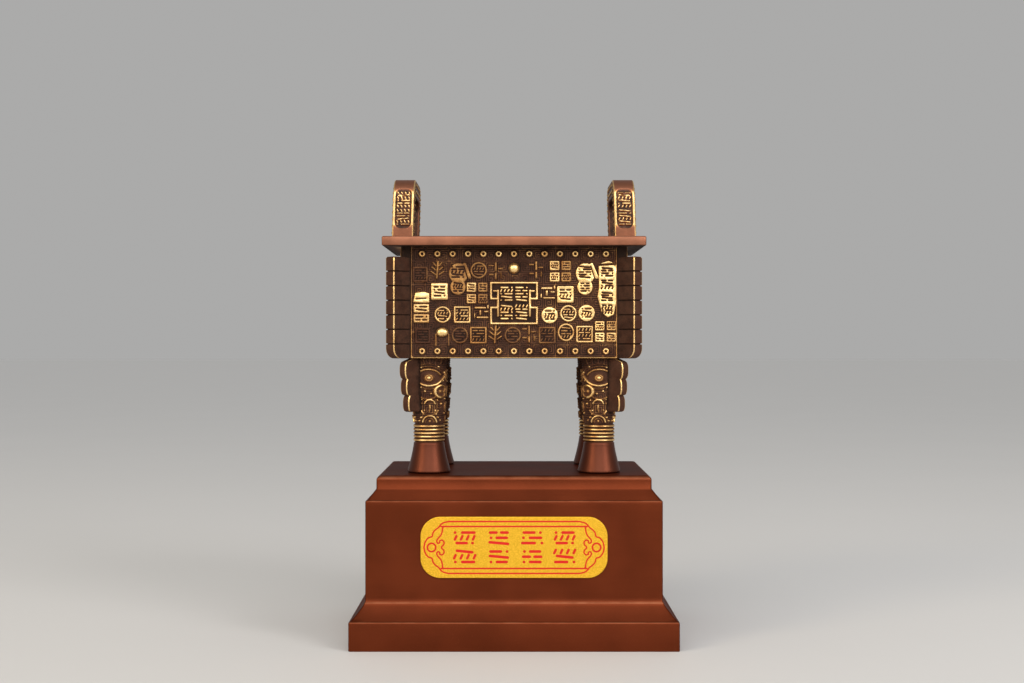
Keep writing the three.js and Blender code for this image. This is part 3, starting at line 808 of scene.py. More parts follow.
def body_shell(v, materials):
    """The four relief walls, rolled out as one closed strip, with a flat floor and top."""
    rows = spaced(v.body_height, v.step)
    fine, coarse = spaced(v.body_width, v.step), spaced(v.body_width, COARSER * v.step)
    depth = spaced(v.body_depth, COARSER * v.step)
    front = carved_wall(
        v, draw_front, FRONT_SEED, fine, rows, FIELD_FRONT, FRONT_GROUND, FRONT_STUDS,
        FRONT_GOLD, PAINTED_LIGHT_RIGHT,
    )
    back = carved_wall(v, draw_back, BACK_SEED, coarse, rows, FIELD_FRONT, PLAIN_GROUND, FRONT_STUDS)
    right, left = (
        carved_wall(v, draw_end, seed, depth, rows, FIELD_END, PLAIN_GROUND, END_STUDS)
        for seed in (RIGHT_SEED, LEFT_SEED)
    )
    walls = [
        (front, (0, -v.body_depth / 2), (1, 0), (0, -1)),
        (right, (v.body_width / 2, 0), (0, 1), (1, 0)),
        (back, (0, v.body_depth / 2), (-1, 0), (0, 1)),
        (left, (-v.body_width / 2, 0), (0, -1), (-1, 0)),
    ]
    strips, tones = [], []
    for relief, centre, along, out in walls:
        x, z = np.meshgrid(relief.x, relief.z)
        clear_of_corner = smooth((relief.x[-1] - np.abs(x)) / 2)
        eased_foot = 0.35 * (1 - smooth((z - rows[0]) / 0.5))
        rise = (relief.rise - eased_foot) * clear_of_corner
        place = [centre[k] + along[k] * x + out[k] * rise for k in (0, 1)]
        strips.append(np.stack([*place, z + v.field_z], -1)[:, :-1])
        tones.append(relief.gold[:, :-1])
    points, gold = np.concatenate(strips, 1), np.concatenate(tones, 1)
    return new_piece("ding_body", points, closed_faces(points.shape[1], len(rows)), materials, gold.ravel())


def corner_flange(v, materials, segments=7, groove=0.8, top=5.2, round_end=5.0, curve=0.8, root=-7.0):
    """An upright flange in seven blocks, parted by dark grooves, its lower outer end rounded."""
    height = v.body_height - top
    near_groove = (-0.55, -0.4, -0.25, 0.0, 0.25, 0.4, 0.55)
    grooves = [i * height / segments for i in range(1, segments)]
    rows = [g + d for g in grooves for d in near_groove]
    rows += [g + height / segments * t for g in [0, *grooves] for t in (0.3, 0.5, 0.7)]
    rows += [round_end * (1 - math.cos(t)) for t in quarter(9)]
    rows += [height - down for down in (curve, 0.5, 0.2, 0)]
    rows = np.unique(np.round(rows, 3))
    distance = np.abs(rows[:, None] - np.array(grooves)).min(1)
    cut = groove * (1 - smooth((distance - 0.12) / 0.3))
    low = np.clip(rows / round_end, 0, 1)
    reach = v.flange_reach - round_end * (1 - np.sqrt(1 - (1 - low) ** 2)) - cut
    top_ease = 0.6 * smooth((rows - (height - curve)) / curve)
    thick = v.flange_thick - 1.6 * cut - top_ease
    fin = upright_fin("flange", rows, reach - top_ease, thick, root, materials)
    gold = fin.data.attributes["gold"].data
    tone = np.zeros(len(gold), np.float32)
    gold.foreach_get("value", tone)
    tone *= np.repeat(1 - 0.95 * cut / groove, len(tone) // len(rows))
    gold.foreach_set("value", tone)
    return fin


def shade_under_rim(piece, below):
    """Paints shade under the rim: gives the rim's underside the dark patina colour of the relief finish
    instead of the satin finish.
    """
    polygons = piece.data.polygons
    normals, centres = (np.zeros(3 * len(polygons), np.float32) for _ in range(2))
    index = np.zeros(len(polygons), np.int32)
    polygons.foreach_get("normal", normals)
    polygons.foreach_get("center", centres)
    polygons.foreach_get("material_index", index)
    under = (index == SATIN) & (normals[2::3] < -0.5) & (centres[2::3] < below * MM)
    index[under] = RELIEF
    polygons.foreach_set("material_index", index)


def make_body(v, materials):
    """The bowl in one piece: relief walls, rim, corner flanges and the hollow."""
    piece = body_shell(v, materials)
    apply_modifier(piece, "TRIANGULATE")
    share = (BODY_TRIANGLES - RIM_AND_FLANGES) / len(piece.data.polygons)
    apply_modifier(piece, "DECIMATE", ratio=min(1, share))
    levels = rounding(v.rim_z, *VESSEL_HIGH[:2], RIM_EDGE, upper=False)
    levels += rounding(v.rim_top, *VESSEL_HIGH[:2], RIM_EDGE, upper=True)
    rim = loft("rim", levels, RIM_CORNER, materials, RIM_STEPS, SATIN)
    flange = corner_flange(v, materials)
    turn_about_z(flange, 45, v.body_z)
    flanges = corner_copies(flange, v.body_width / 2, v.body_depth / 2)
    combine(piece, join_pieces([rim, *flanges]))
    a, b = v.body_width / 2 - v.wall, v.body_depth / 2 - v.wall
    floor = v.body_z + v.wall
    levels = rounding(floor, a, b, FLOOR_CURVE, upper=False, steps=6)
    levels += [(z, a, b) for z in np.linspace(floor + FLOOR_CURVE + 1, v.rim_top - LIP, 12)]
    for t in quarter(6)[1:]:
        flare = round_off(t, LIP)[0]
        levels.append((v.rim_top - LIP * math.cos(t), a + flare, b + flare))
    levels.append((v.rim_top + 3, a + 2, b + 2))
    hollow = loft("hollow", levels, HOLLOW_CORNER, materials, HOLLOW_STEPS, INSIDE)
    combine(piece, hollow, "DIFFERENCE")
    # Painted shade: the rim's underside takes the dark patina colour.
    shade_under_rim(piece, v.rim_z + 0.3)
    finish_piece(piece, "antique_bronze", "ding_vessel", sharp=70)


# ---------------------------------------------------------------- legs
RING_COUNT, RING_LOW, RING_PITCH = 5, 15.3, 1.75
RING_CREST, RING_VALLEY = 7.9, 7.0
RINGS_TO, MASK_FROM = 24.1, 24.0  # heights where the rings' tone ends and the mask fades in
SMOOTH_STEP, RING_STEP, MASK_STEP = 0.9, 0.16, 0.26  # spacing of the rows up the leg
FOOT_TOP, FOOT_RADIUS, FOOT_FLARE, FOOT_LIP = 14.6, 7.7, 3.25, 1.1
MASK_LOW, MASK_HIGH, NECK, BROW = 25.0, 43.0, 7.1, 8.5
LEG_ARC = 0.136  # millimetres round the leg for one degree
FIN_LOW = 30.5
FOOT_PAINTED_SHADE = 0.95  # painted shade: the feet are painted a darker satin than the rim
EYE_X, EYE_Z, CURL_Z = 6.9, 47.3, 40.6  # the mask's eye and the curl beside its snout

# Beads on the mask: distance round the leg, height and width.
BEADS = [
    (4.6, 40.7, 1.2), (7.5, 39.5, 1.1), (2.9, 42.6, 0.9), (12.9, 34.4, 1.3), (2.4, 27.6, 1.1),
    (1.3, 25.9, 0.9), (11.3, 27.6, 1.1), (12.7, 26.1, 0.9), (13.6, 46.0, 1.0), (14.6, 50.0, 1.0),
    (3.2, 36.6, 0.8), (10.7, 36.2, 0.8), (4.3, 31.2, 0.8), (9.8, 31.0, 0.8), (3.0, 52.6, 0.9),
    (11.0, 52.9, 0.9), (15.6, 36.8, 1.0), (15.9, 29.6, 1.0),
]
# Scrolls beside it: distance round the leg, height and radius.
SCROLLS = [(17.8, 48.4, 2.9), (19.4, 40.4, 2.6), (17.8, 32.6, 2.4), (19.6, 26.4, 1.7)]


def leg_radius(h):
    """Radius of the plain leg at a height above its foot."""
    lip = np.sqrt(np.clip(1 - ((FOOT_LIP - h) / FOOT_LIP) ** 2, 0, 1))
    foot = FOOT_RADIUS + FOOT_FLARE * (1 - np.clip(h / FOOT_TOP, 0, 1)) ** 1.3
    foot = np.where(h < FOOT_LIP, foot - FOOT_LIP / 2 * (1 - lip), foot)
    ring = np.clip((h - RING_LOW) / RING_PITCH, 0, RING_COUNT - 1e-6) % 1
    ringed = RING_VALLEY + (RING_CREST - RING_VALLEY) * np.sin(np.pi * ring) ** 0.7
    ring_top = RING_LOW + RING_COUNT * RING_PITCH
    upper = np.interp(h, [ring_top, MASK_LOW, MASK_HIGH, 60], [RING_VALLEY, NECK + 0.2, BROW, BROW])
    return np.where(h < RING_LOW, foot, np.where(h < ring_top, ringed, upper))


def mask_relief(relief):
    """Half of the beast mask: x runs round the leg from its outer corner, z is the height above the foot."""

    def arcs(*rows, edge=EDGE):
        for *place, rise, gold in rows:
            relief.lay(arc(*place), rise, gold, edge)

    def line(start, end, width, rise, gold):
        relief.lay(stroke(start, end, width), rise, gold)

    def bead(bead_x, bead_z, width, rise, gold, base=0.1):
        relief.dome(bead_x, bead_z, width, width, rise, gold, base)

    x, curl = EYE_X, EYE_X + 5.2
    thunder_ground(relief, 1.05, 0.3)
    relief.lay(disc(x, EYE_Z, 10.6, 8.2), 0.1, 0.18, edge=0.6)
    brow = (x - 0.6, EYE_Z - 2.6)
    arcs(
        (*brow, 6.9, 0.75, 38, 142, 1.1, 0.8),
        (*brow, 8.4, 0.5, 38, 142, 0.75, 0.45),
        (*brow, 9.6, 0.5, 38, 142, 0.7, 0.35),
        (x - 0.3, EYE_Z + 3.6, 7.4, 0.95, 216, 318, 1.25, 0.95),
        (x - 0.3, EYE_Z + 3.4, 8.8, 0.5, 226, 300, 0.8, 0.4),
    )
    line((x + 5.2, EYE_Z - 1.4), (x + 7.3, EYE_Z + 0.9), 0.8, 1.15, 0.85)
    relief.dome(x - 0.4, EYE_Z, 5.4, 5.0, 1.15, 0.34, base=0.1)
    relief.lay(disc(x - 0.4, EYE_Z, 3.3).line(0.5), 1.4, 0.7)
    bead(x - 0.4, EYE_Z, 1.5, 0.55, 1.0, base=1.15)
    relief.lay(disc(curl, CURL_Z, 7.0), 0.35, 0.25, edge=1.0)
    arcs((curl, CURL_Z, 3.0, 1.35, 95, 262, 1.75, 0.95), edge=0.7)
    arcs(
        (curl + 0.9, CURL_Z + 1.2, 1.6, 0.8, -60, 110, 1.2, 0.7),
        (curl + 0.9, CURL_Z - 1.3, 1.5, 0.8, -110, 60, 1.2, 0.6),
    )
    bead(curl - 0.2, CURL_Z, 1.7, 0.7, 0.6, base=0.4)
    for place in BEADS:
        bead(*place, 0.8, 0.9)
    arcs(
        (x - 0.9, 42.3, 5.6, 0.6, 222, 306, 0.85, 0.6),
        (x, 33.9, 2.5, 0.75, 12, 168, 1.0, 0.95),
        (x, 33.9, 3.7, 0.45, 12, 168, 0.6, 0.4),
    )
    line((x, 33.6), (x + 0.1, 32.0), 0.9, 0.95, 0.9)
    line((x + 0.1, 32.0), (x - 0.3, 30.2), 0.55, 0.7, 0.7)
    for side in (-1, 1):
        line((x + side * 3.0, 29.4), (x + side * 4.2, 31.0), 0.75, 0.9, 0.85)
        arcs(
            (x + side * 2.4, 31.0, 1.4, 0.5, 250, 350, 0.6, 0.4),
            (x + side * 5.0, 33.6, 1.5, 0.55, 90 + side * 60, 270 + side * 60, 0.7, 0.45),
        )
    relief.lay(disc(x, 25.6, 5.6, 4.8), 0.1, 0.2, edge=0.5)
    arcs((x, 24.9, 3.5, 0.75, 6, 174, 1.0, 0.98), (x, 24.9, 2.2, 0.45, 8, 172, 0.7, 0.6))
    bead(x, 25.7, 1.2, 0.6, 0.9, base=0.2)
    for k in range(5):
        start = x - 5.2 + 2.6 * k
        line((start, 54.4), (start + 0.4 * (k - 2), 56.8), 0.5, 0.6, 0.35)
    for scroll_x, scroll_z, size in SCROLLS:
        arcs(
            (scroll_x, scroll_z, size, 0.75, 20, 300, 0.85, 0.6),
            (scroll_x, scroll_z, size * 0.5, 0.6, 120, 400, 0.75, 0.5),
        )
        bead(scroll_x, scroll_z, 0.9, 0.5, 0.7)


def leg_shaft(v, materials, around=232):
    """The turned foot, rings and masked shaft, as one closed grid round the leg's axis."""
    heights = np.concatenate([
        np.linspace(0, 1.2, 7)[:-1], np.arange(1.2, RING_LOW, SMOOTH_STEP),
        np.arange(RING_LOW, 24.2, RING_STEP), np.arange(24.3, v.leg_height + 1.0, MASK_STEP),
    ])
    half = around // 2
    run = np.arange(half + 1) * 360 / around * LEG_ARC
    relief = Relief(run, heights)
    mask_relief(relief)
    clear_of_fin = smooth((run - 2.2) / 0.7)[None]
    below_fin = smooth((FIN_LOW - 0.5 - heights) / 0.6)[:, None]
    fade = smooth((heights - MASK_FROM) / 0.7)[:, None] * np.maximum(clear_of_fin, below_fin)
    rings = ((heights > RING_LOW) & (heights < RINGS_TO))[:, None]
    phase = np.clip((heights - RING_LOW) / RING_PITCH, 0, RING_COUNT) % 1
    ring_tone = (np.sin(np.pi * phase) ** 1.5)[:, None]
    worn = 0.62 + 0.4 * mottle(run[None], heights[:, None], 3.0, 5)
    # The plain foot takes the painted shade, the rest of the shaft a low tone.
    plain = np.where(heights < RING_LOW, FOOT_PAINTED_SHADE, 0.05)[:, None]
    gold = np.where(rings, ring_tone * worn, relief.gold * worn * fade + plain)
    both_halves = np.concatenate([np.arange(half + 1), np.arange(half - 1, 0, -1)])
    rise, gold = (relief.rise * fade)[:, both_halves], gold[:, both_halves]
    angle = np.arange(around) * 2 * np.pi / around
    radius = leg_radius(heights)[:, None] + rise
    up = np.broadcast_to(heights[:, None], rise.shape)
    points = np.stack([radius * np.cos(angle), radius * np.sin(angle), up], -1)
    shaft = new_piece("leg", points, closed_faces(around, len(heights)), materials, gold.ravel())
    smooth_part = np.repeat(heights[:-1] < RING_LOW - 0.2, around)
    index = np.concatenate([np.where(smooth_part, SATIN, RELIEF), [SATIN, RELIEF]])
    shaft.data.polygons.foreach_set("material_index", index.astype(np.int32))
    return shaft


def leg_fin(v, materials, low=FIN_LOW, step=8.3, lobes=(15.6, 17.0, 17.8), notch=1.0, thick=4.6, root=1.0):
    """The scalloped fin on a leg's outer corner, in three lobes."""
    top = v.leg_height + 0.6
    rows = np.concatenate([np.linspace(low, low + 0.5, 3), np.arange(low + 0.5, top, 0.45), [top]])
    rows = np.unique(np.round(rows, 3))
    t = (rows - low) / step
    lobe = np.clip(t.astype(int), 0, 2)
    from_middle = np.abs(2 * np.clip(t - lobe, 0, 1) - 1)
    reach = np.array(lobes)[lobe] - notch * from_middle**3
    shoulder = low + 3 * step
    reach = np.where(rows > shoulder, np.interp(rows, [shoulder, top], [lobes[2] - notch, 10]), reach)
    ease = 0.5 * (1 - smooth((rows - low) / 0.5))
    pinch = 0.5 * from_middle**6
    thick = thick - ease - pinch
    reach = reach - ease
    return upright_fin("fin", rows, reach, thick, root, materials, side=0.16, end=0.22, arris_wear_and_sheen=0.88)


def make_legs(v, materials):
    """Four legs, each turned so that its fin points out of the body's corner."""
    shaft = leg_shaft(v, materials)
    combine(shaft, leg_fin(v, materials))
    turn_about_z(shaft, 45, v.foot_z)
    pieces = corner_copies(shaft, v.leg_x, v.leg_y)
    for piece, name in zip(pieces, ("back_right", "back_left", "front_right", "front_left")):
        piece.name = f"leg_{name}"
        finish_piece(piece, "antique_bronze", "ding_vessel", sharp=70)


# ---------------------------------------------------------------- ears
EAR_CORNER, EAR_INNER_CORNER, EAR_EDGE = 11.0, 6.0, 0.8
EAR_STEPS, EAR_BEND_STEPS = 74, 42
EARS = (("ear_left", -1, 31), ("ear_right", 1, 32))  # name, side and seed
PLAIN_TONE, OUTER_EDGE_TONE, INNER_EDGE_TONE = 0.07, 0.86, 0.3
PANEL_WIDTH, PANEL_LOW, PANEL_HIGH, PANEL_CORNER, PANEL_SUNK = 8.0, 5.4, 25.4, 2.6, 0.7
BEAD, BEAD_PITCH, BEAD_ROWS = 1.6, 3.6, ((2.3, 0.75), (5.7, 0.25))  # rows: place across and start
BAND, BAND_LEVEL = 1.9, -0.35


def ear_panel(relief, rng):
    """An ear's outer face: gold borders round a sunk panel with two blocks of strokes."""
    middle, height = (PANEL_LOW + PANEL_HIGH) / 2, PANEL_HIGH - PANEL_LOW
    s = np.meshgrid(relief.x, relief.z)[1]
    relief.gold += 0.36 + 0.56 * smooth((s - PANEL_LOW + 0.2) / 2.5) * smooth((PANEL_HIGH + 0.4 - s) / 2.5)
    relief.lay(block(0, middle, PANEL_WIDTH, height, PANEL_CORNER), -PANEL_SUNK, 0.04, edge=0.4)
    for up in (-1, 1):
        for mark in strokes(rng, 0, middle + up * 4.6, 6.4, 8.4, pitch=1.45, pen=0.74):
            relief.lay(mark, -0.05, 0.95, edge=0.3)


def ear_side(relief, bar):
    """An ear's side face: a sunk dark band with two staggered rows of beads along the whole arch."""
    run = relief.z[-1]
    relief.gold += 0.22
    relief.lay(block(bar / 2, run / 2, bar - BAND, run + 4, 0.2), BAND_LEVEL, 0.05, edge=0.4)
    for low, high in ((1.5, 9.0), (run - 9.0, run - 1.5)):
        relief.lay(stroke((bar / 2, low), (bar / 2, high), 0.6), 0.1, 0.55)
    for across, start in BEAD_ROWS:
        for along in np.arange(BEAD_PITCH * start + 1.5, run, BEAD_PITCH):
            relief.dome(across * bar / 8, along, BEAD, BEAD, 0.76, 0.85, base=BAND_LEVEL)


def ear_arch(v):
    """Matching points of the outer and the inner curve of an ear's arch, in y and z, from front to back."""
    turn = quarter(EAR_BEND_STEPS)[:, None]
    curve = np.hstack([1 - np.cos(turn), np.sin(turn)])
    up = np.linspace(0, 1, EAR_STEPS)[:-1, None]
    flat = np.linspace(0, 1, EAR_STEPS)[1:-1, None]
    mirror = np.array([-1, 1])
    paths = []
    for inset, corner in ((0, EAR_CORNER), (v.ear_bar, EAR_INNER_CORNER)):
        y = -v.ear_depth / 2 + inset
        foot, shoulder = np.array([y, -1.0]), np.array([y, v.ear_rise - inset - corner])
        half = np.concatenate([foot + up * (shoulder - foot), shoulder + corner * curve])
        across = half[-1] + flat * (half[-1] * mirror - half[-1])
        paths.append(np.concatenate([half, across, (half * mirror)[::-1]]))
    return paths


def ear_section(width, bar, edge=EAR_EDGE):
    """Points round an ear's bar, as place across, depth from the outer face and which face they are on."""
    half = width / 2
    turns = quarter(5)[1:-1]
    right = [(half - edge + edge * math.sin(t), round_off(t, edge)[0], "edge") for t in turns]
    right += [(half, q, "side") for q in np.linspace(edge, bar - edge, 21)]
    right += [(half - round_off(t, edge)[0], bar - round_off(t, edge)[1], "edge") for t in turns]
    outer = [(p, 0.0, "outer") for p in np.linspace(-half + edge, half - edge, 35)]
    inner = [(p, bar, "inner") for p in np.linspace(half - edge, -half + edge, 7)]
    return [*outer, *right, *inner, *((-p, q, face) for p, q, face in reversed(right))]


def make_ear(v, name, side, seed, materials):
    """One ear: an arch swept from foot to foot, panelled at the front and back, beaded along its sides."""
    outer, inner = ear_arch(v)
    run = np.concatenate([[0], np.cumsum(np.hypot(*np.diff(outer, axis=0).T))])
    width, centre = v.ear_outer - v.ear_inner, (v.ear_outer + v.ear_inner) / 2
    section = ear_section(width, v.ear_bar)
    across = np.array([p for p, q, face in section if face == "outer"])
    down = np.array([q for p, q, face in section if face == "side" and p > 0])
    rng = np.random.default_rng(seed)
    front, back, beads = Relief(across, run - 1), Relief(across, run - 1), Relief(down, run)
    ear_panel(front, rng)
    ear_panel(back, rng)
    ear_side(beads, v.ear_bar)
    first_half = (run < run[-1] / 2)[:, None]
    rise = np.where(first_half, front.rise, back.rise[::-1, ::-1])
    gold = np.where(first_half, front.gold, back.gold[::-1, ::-1])
    inward = (inner - outer) / v.ear_bar
    out = -inward / np.hypot(*inward.T)[:, None]
    columns = {"outer": iter(range(len(across))), "side": iter([*range(len(down)), *range(len(down))[::-1]])}
    strips, tones = [], []
    for p, q, face in section:
        place = outer + inward * q
        x, tone = np.full(len(run), p), np.full(len(run), PLAIN_TONE)
        if face == "outer":
            k = next(columns[face])
            place = place + out * rise[:, k, None]
            tone = gold[:, k]
        elif face == "side":
            k = next(columns[face])
            x = x + math.copysign(1, p) * beads.rise[:, k]
            tone = beads.gold[:, k]
        elif face == "edge":
            tone = np.full(len(run), OUTER_EDGE_TONE if q < v.ear_bar / 2 else INNER_EDGE_TONE)
        lean = v.ear_lean * np.clip(place[:, 1] / v.ear_rise, 0, 1)
        strips.append(np.stack([side * (centre + x - lean), place[:, 0], v.rim_top + place[:, 1]], -1))
        tones.append(tone)
    faces = closed_faces(len(section), len(run))
    piece = new_piece(name, np.stack(strips, 1), faces, materials, np.stack(tones, 1).ravel())
    if side < 0:
        piece.data.flip_normals()
    finish_piece(piece, "antique_bronze", "ding_vessel", sharp=60)


# ---------------------------------------------------------------- plinth and plaque
FOOT_EDGE, BASE_EDGE, BLOCK_EDGE, TOP_EDGE = 0.45, 1.0, 0.9, 2.2  # radii of the plinth's level edges
BLOCK_FOOT = ((-0.15, 0.62, 0), (0.25, 0.55, 1), (0.6, 0.25, 1), (1.1, 0, 0))  # height, how far out, and rubbing with a painted highlight
# Strength of the rubbing and painted highlight along the plinth's rounded arrises.
EDGE_WEAR_AND_SHEEN = 1.0


def slope(z, height, lower, upper, inset, outset, shares, sag=0.0):
    """Levels of the slope between two tiers, hollowed a little."""
    found = []
    for t in shares:
        hollow = sag * math.sin(math.pi * t)
        size = [a - inset + (b + outset - a + inset) * t - hollow for a, b in zip(lower, upper)]
        found.append((z + height * t, *size))
    return found


def make_plinth(p, materials):
    """The stepped plinth: base tier, slope, block, slope and top tier."""
    base, top_z = PLINTH_HIGH[:2], PLINTH_HIGH[2]
    main, top = (p.block_width / 2, p.block_depth / 2), (p.top_width / 2, p.top_depth / 2)
    main_low = p.base_height + p.lower_bevel
    main_high = main_low + p.block_height
    top_low = main_high + p.upper_bevel

    def grown(tier, by):
        return [half + by for half in tier]

    levels = rounding(0, *base, FOOT_EDGE, upper=False, wear=EDGE_WEAR_AND_SHEEN)
    levels += rounding(p.base_height, *base, BASE_EDGE, upper=True, wear=EDGE_WEAR_AND_SHEEN)
    shares = np.linspace(0.15, 0.92, 8)
    levels += slope(p.base_height, p.lower_bevel - 0.4, base, main, BASE_EDGE, 0.7, shares, sag=0.25)
    # The block's foot carries a rubbed line with a painted highlight.
    levels += [(main_low + up, *grown(main, out), worn) for up, out, worn in BLOCK_FOOT]
    levels += [(z, *main) for z in np.linspace(main_low + 3, main_high - 3, 12)]
    levels += rounding(main_high, *main, BLOCK_EDGE, upper=True, wear=EDGE_WEAR_AND_SHEEN)
    levels += slope(main_high, p.upper_bevel, main, top, BLOCK_EDGE, 0.4, np.linspace(0.2, 0.9, 5))
    levels += [(top_low + 0.1, *grown(top, 0.3)), (top_low + 0.6, *top)]
    levels += rounding(top_z, *top, TOP_EDGE, upper=True, steps=8, wear=EDGE_WEAR_AND_SHEEN)
    levels += [(top_z, *grown(top, -inset)) for inset in (3.2, 8.0)]
    piece = loft("plinth_satin", levels, p.corner, materials, 30)
    finish_piece(piece, "satin_copper_brown", "plinth", sharp=35)


# One quarter of the scroll at the plaque's ends, from the lines' end to the middle.
SCROLL = (
    [
        (32, 12.6), (34.9, 11.7), (36.7, 9.7), (38.3, 8.5), (39.4, 7.1), (39.9, 5.3), (41.7, 4.6),
        (43.2, 2.6), (43.8, 0),
    ],
    [
        (34.7, 10.2), (34.9, 7.9), (35.6, 5.9), (37.0, 4.3), (37.6, 3.1), (37.1, 2.1), (36.2, 2.3),
        (36.1, 3.1),
    ],
    [(36.1, 3.3), (35.0, 3.6), (34.0, 2.5), (34.3, 1.2), (35.1, 0.5), (35.3, 0)],
)
PRINT_SEED = 5
NO_INK = 9.0  # distance given to points far from the print


def curve_strokes(points, width, side, up, steps=4):
    """A smooth line through a few points, as short strokes, mirrored to one quarter."""
    points = np.array(points, float) * [side, up]
    padded = np.concatenate([[2 * points[0] - points[1]], points, [2 * points[-1] - points[-2]]])
    found = []
    for a, b, c, d in zip(padded, padded[1:], padded[2:], padded[3:]):
        t = np.linspace(0, 1, steps + 1)[:, None]
        path = b + 0.5 * t * (c - a + t * (2 * a - 5 * b + 4 * c - d + t * (3 * (b - c) + d - a)))
        found += [stroke(p, q, width) for p, q in zip(path, path[1:])]
    return found


def plaque_print(line=0.72):
    """The red border with its scrolled ends, as many short strokes."""
    shapes = [disc(side * 40.1, 0, 4.9).line(0.85) for side in (-1, 1)]
    for up in (-1, 1):
        for half, z in ((32, 12.6), (35.4, 10.2)):
            shapes.append(stroke((-half, up * z), (half, up * z), line * 1.1))
        for side in (-1, 1):
            for points in SCROLL:
                shapes += curve_strokes(points, line, side, up)
    return shapes


def plaque_marks(rng, width=11.2, pitch=2.4, pen=1.35):
    """Two rows of four marks, each a few broad rows of strokes that aren't letters."""
    shapes = []
    for z in (4.7, -4.5):
        for x in (-24.0, -7.4, 8.8, 24.6):
            kind = rng.integers(ROW_KINDS)
            for level in (2.55, 0.0, -2.55):
                shapes += row_of_strokes(kind, x, z + level, width * (0.8 + 0.2 * rng.random()), pitch, pen)
                kind = (kind + rng.integers(1, ROW_KINDS)) % ROW_KINDS
    return shapes


def ink_distance(x, z):
    """How far each point of the plaque is from the edge of the print, below nought inside it."""
    ink = np.full(x.shape, NO_INK)
    for shape in plaque_print() + plaque_marks(np.random.default_rng(PRINT_SEED)):
        x0, x1, z0, z1 = shape.box
        near = (x > x0 - 1) & (x < x1 + 1) & (z > z0 - 1) & (z < z1 + 1)
        ink[near] = np.minimum(ink[near], shape.distance(x[near], z[near]))
    return ink


def make_plaque(p, materials, step=0.3, edge=0.3):
    """The gold plate: a flat front with the print's distance at each point, eased edges and a plain back."""
    half_width, half_height = PLAQUE_HIGH[0], (PLAQUE_HIGH[2] - PLAQUE_LOW[2]) / 2
    centre = (PLAQUE_HIGH[2] + PLAQUE_LOW[2]) / 2
    front, back = PLAQUE_LOW[1], PLAQUE_HIGH[1]
    inner_h, corner = half_height - edge, p.plaque_corner - edge
    rows = np.arange(-inner_h + corner, inner_h - corner + step / 2, step)
    upper = inner_h - corner + corner * np.sin(quarter(34))
    rows = np.concatenate([-upper[::-1], rows[1:-1], upper])
    beyond = np.clip(np.abs(rows) - (inner_h - corner), 0, corner)
    reach = half_width - edge - corner + np.sqrt(np.maximum(corner**2 - beyond**2, 0))
    share = np.linspace(-1, 1, int(2 * half_width / step) + 1)
    x, z = reach[:, None] * share, np.broadcast_to(rows[:, None], (len(rows), len(share)))
    points = np.stack([x, np.full(x.shape, front), z + centre], -1).reshape(-1, 3)
    columns, count = len(share), len(rows)
    grid = np.arange(columns * count).reshape(count, columns)
    rim = np.concatenate([grid[0, :-1], grid[:-1, -1], grid[-1, :0:-1], grid[:0:-1, 0]])
    outline = points[rim][:, [0, 2]] - [0, centre]
    straight = np.array([half_width, half_height]) - p.plaque_corner
    out = outline - np.clip(outline, -straight, straight)
    out /= np.maximum(np.hypot(*out.T), 1e-6)[:, None]
    bend = edge * (1 - math.cos(np.pi / 4))
    loops, rings = [points], [rim]
    for angle, y in ((np.pi / 4, front + bend), (np.pi / 2, front + edge), (np.pi / 2, back)):
        grown = outline + out * edge * math.sin(angle)
        rings.append(sum(map(len, loops)) + np.arange(len(rim)))
        loops.append(np.column_stack([grown[:, 0], np.full(len(rim), y), grown[:, 1] + centre]))
    faces = [grid_faces(columns, count, closed=False)]
    for a, b in zip(rings, rings[1:]):
        faces.append(np.stack([np.roll(a, -1), a, b, np.roll(b, -1)], -1))
    faces.append(rings[-1][None])
    ink = np.concatenate([ink_distance(x, z).ravel(), np.full(3 * len(rim), NO_INK)])
    piece = new_piece("plaque_plate", np.concatenate(loops), faces, materials, ink=ink)
    finish_piece(piece, "gold_plate", "plaque", sharp=50)


# ---------------------------------------------------------------- shader maths
def feed(socket, value):
    """Sets a socket's value, or links a wire to it."""
    if isinstance(value, Wire):
        socket.id_data.links.new(value.socket, socket)
    else:
        socket.default_value = value


def arithmetic(operation):
    """A Math node for a wire on the left of a sign, and for one on its right."""
    return (
        lambda wire, other: wire.math(operation, wire, other),
        lambda wire, other: wire.math(operation, other, wire),
    )


class Wire:
    """A node's output. Arithmetic on it adds Math nodes."""

    def __init__(self, socket):
        self.socket = socket

    def math(self, operation, *values):
        node = self.socket.id_data.nodes.new("ShaderNodeMath")
        node.operation = operation
        for socket, value in zip(node.inputs, values):
            feed(socket, value)
        return Wire(node.outputs[0])

    __add__, __radd__ = arithmetic("ADD")
    __sub__, __rsub__ = arithmetic("SUBTRACT")
    __mul__, __rmul__ = arithmetic("MULTIPLY")
    __truediv__ = arithmetic("DIVIDE")[0]

    def between(self, low, high):
        """0 at low, 1 at high, with a soft step between."""
        t = ((self - low) / (high - low)).limited()
        return t * t * (3 - 2 * t)

    def limited(self):
        return self.math("MAXIMUM", self.math("MINIMUM", self, 1.0), 0.0)


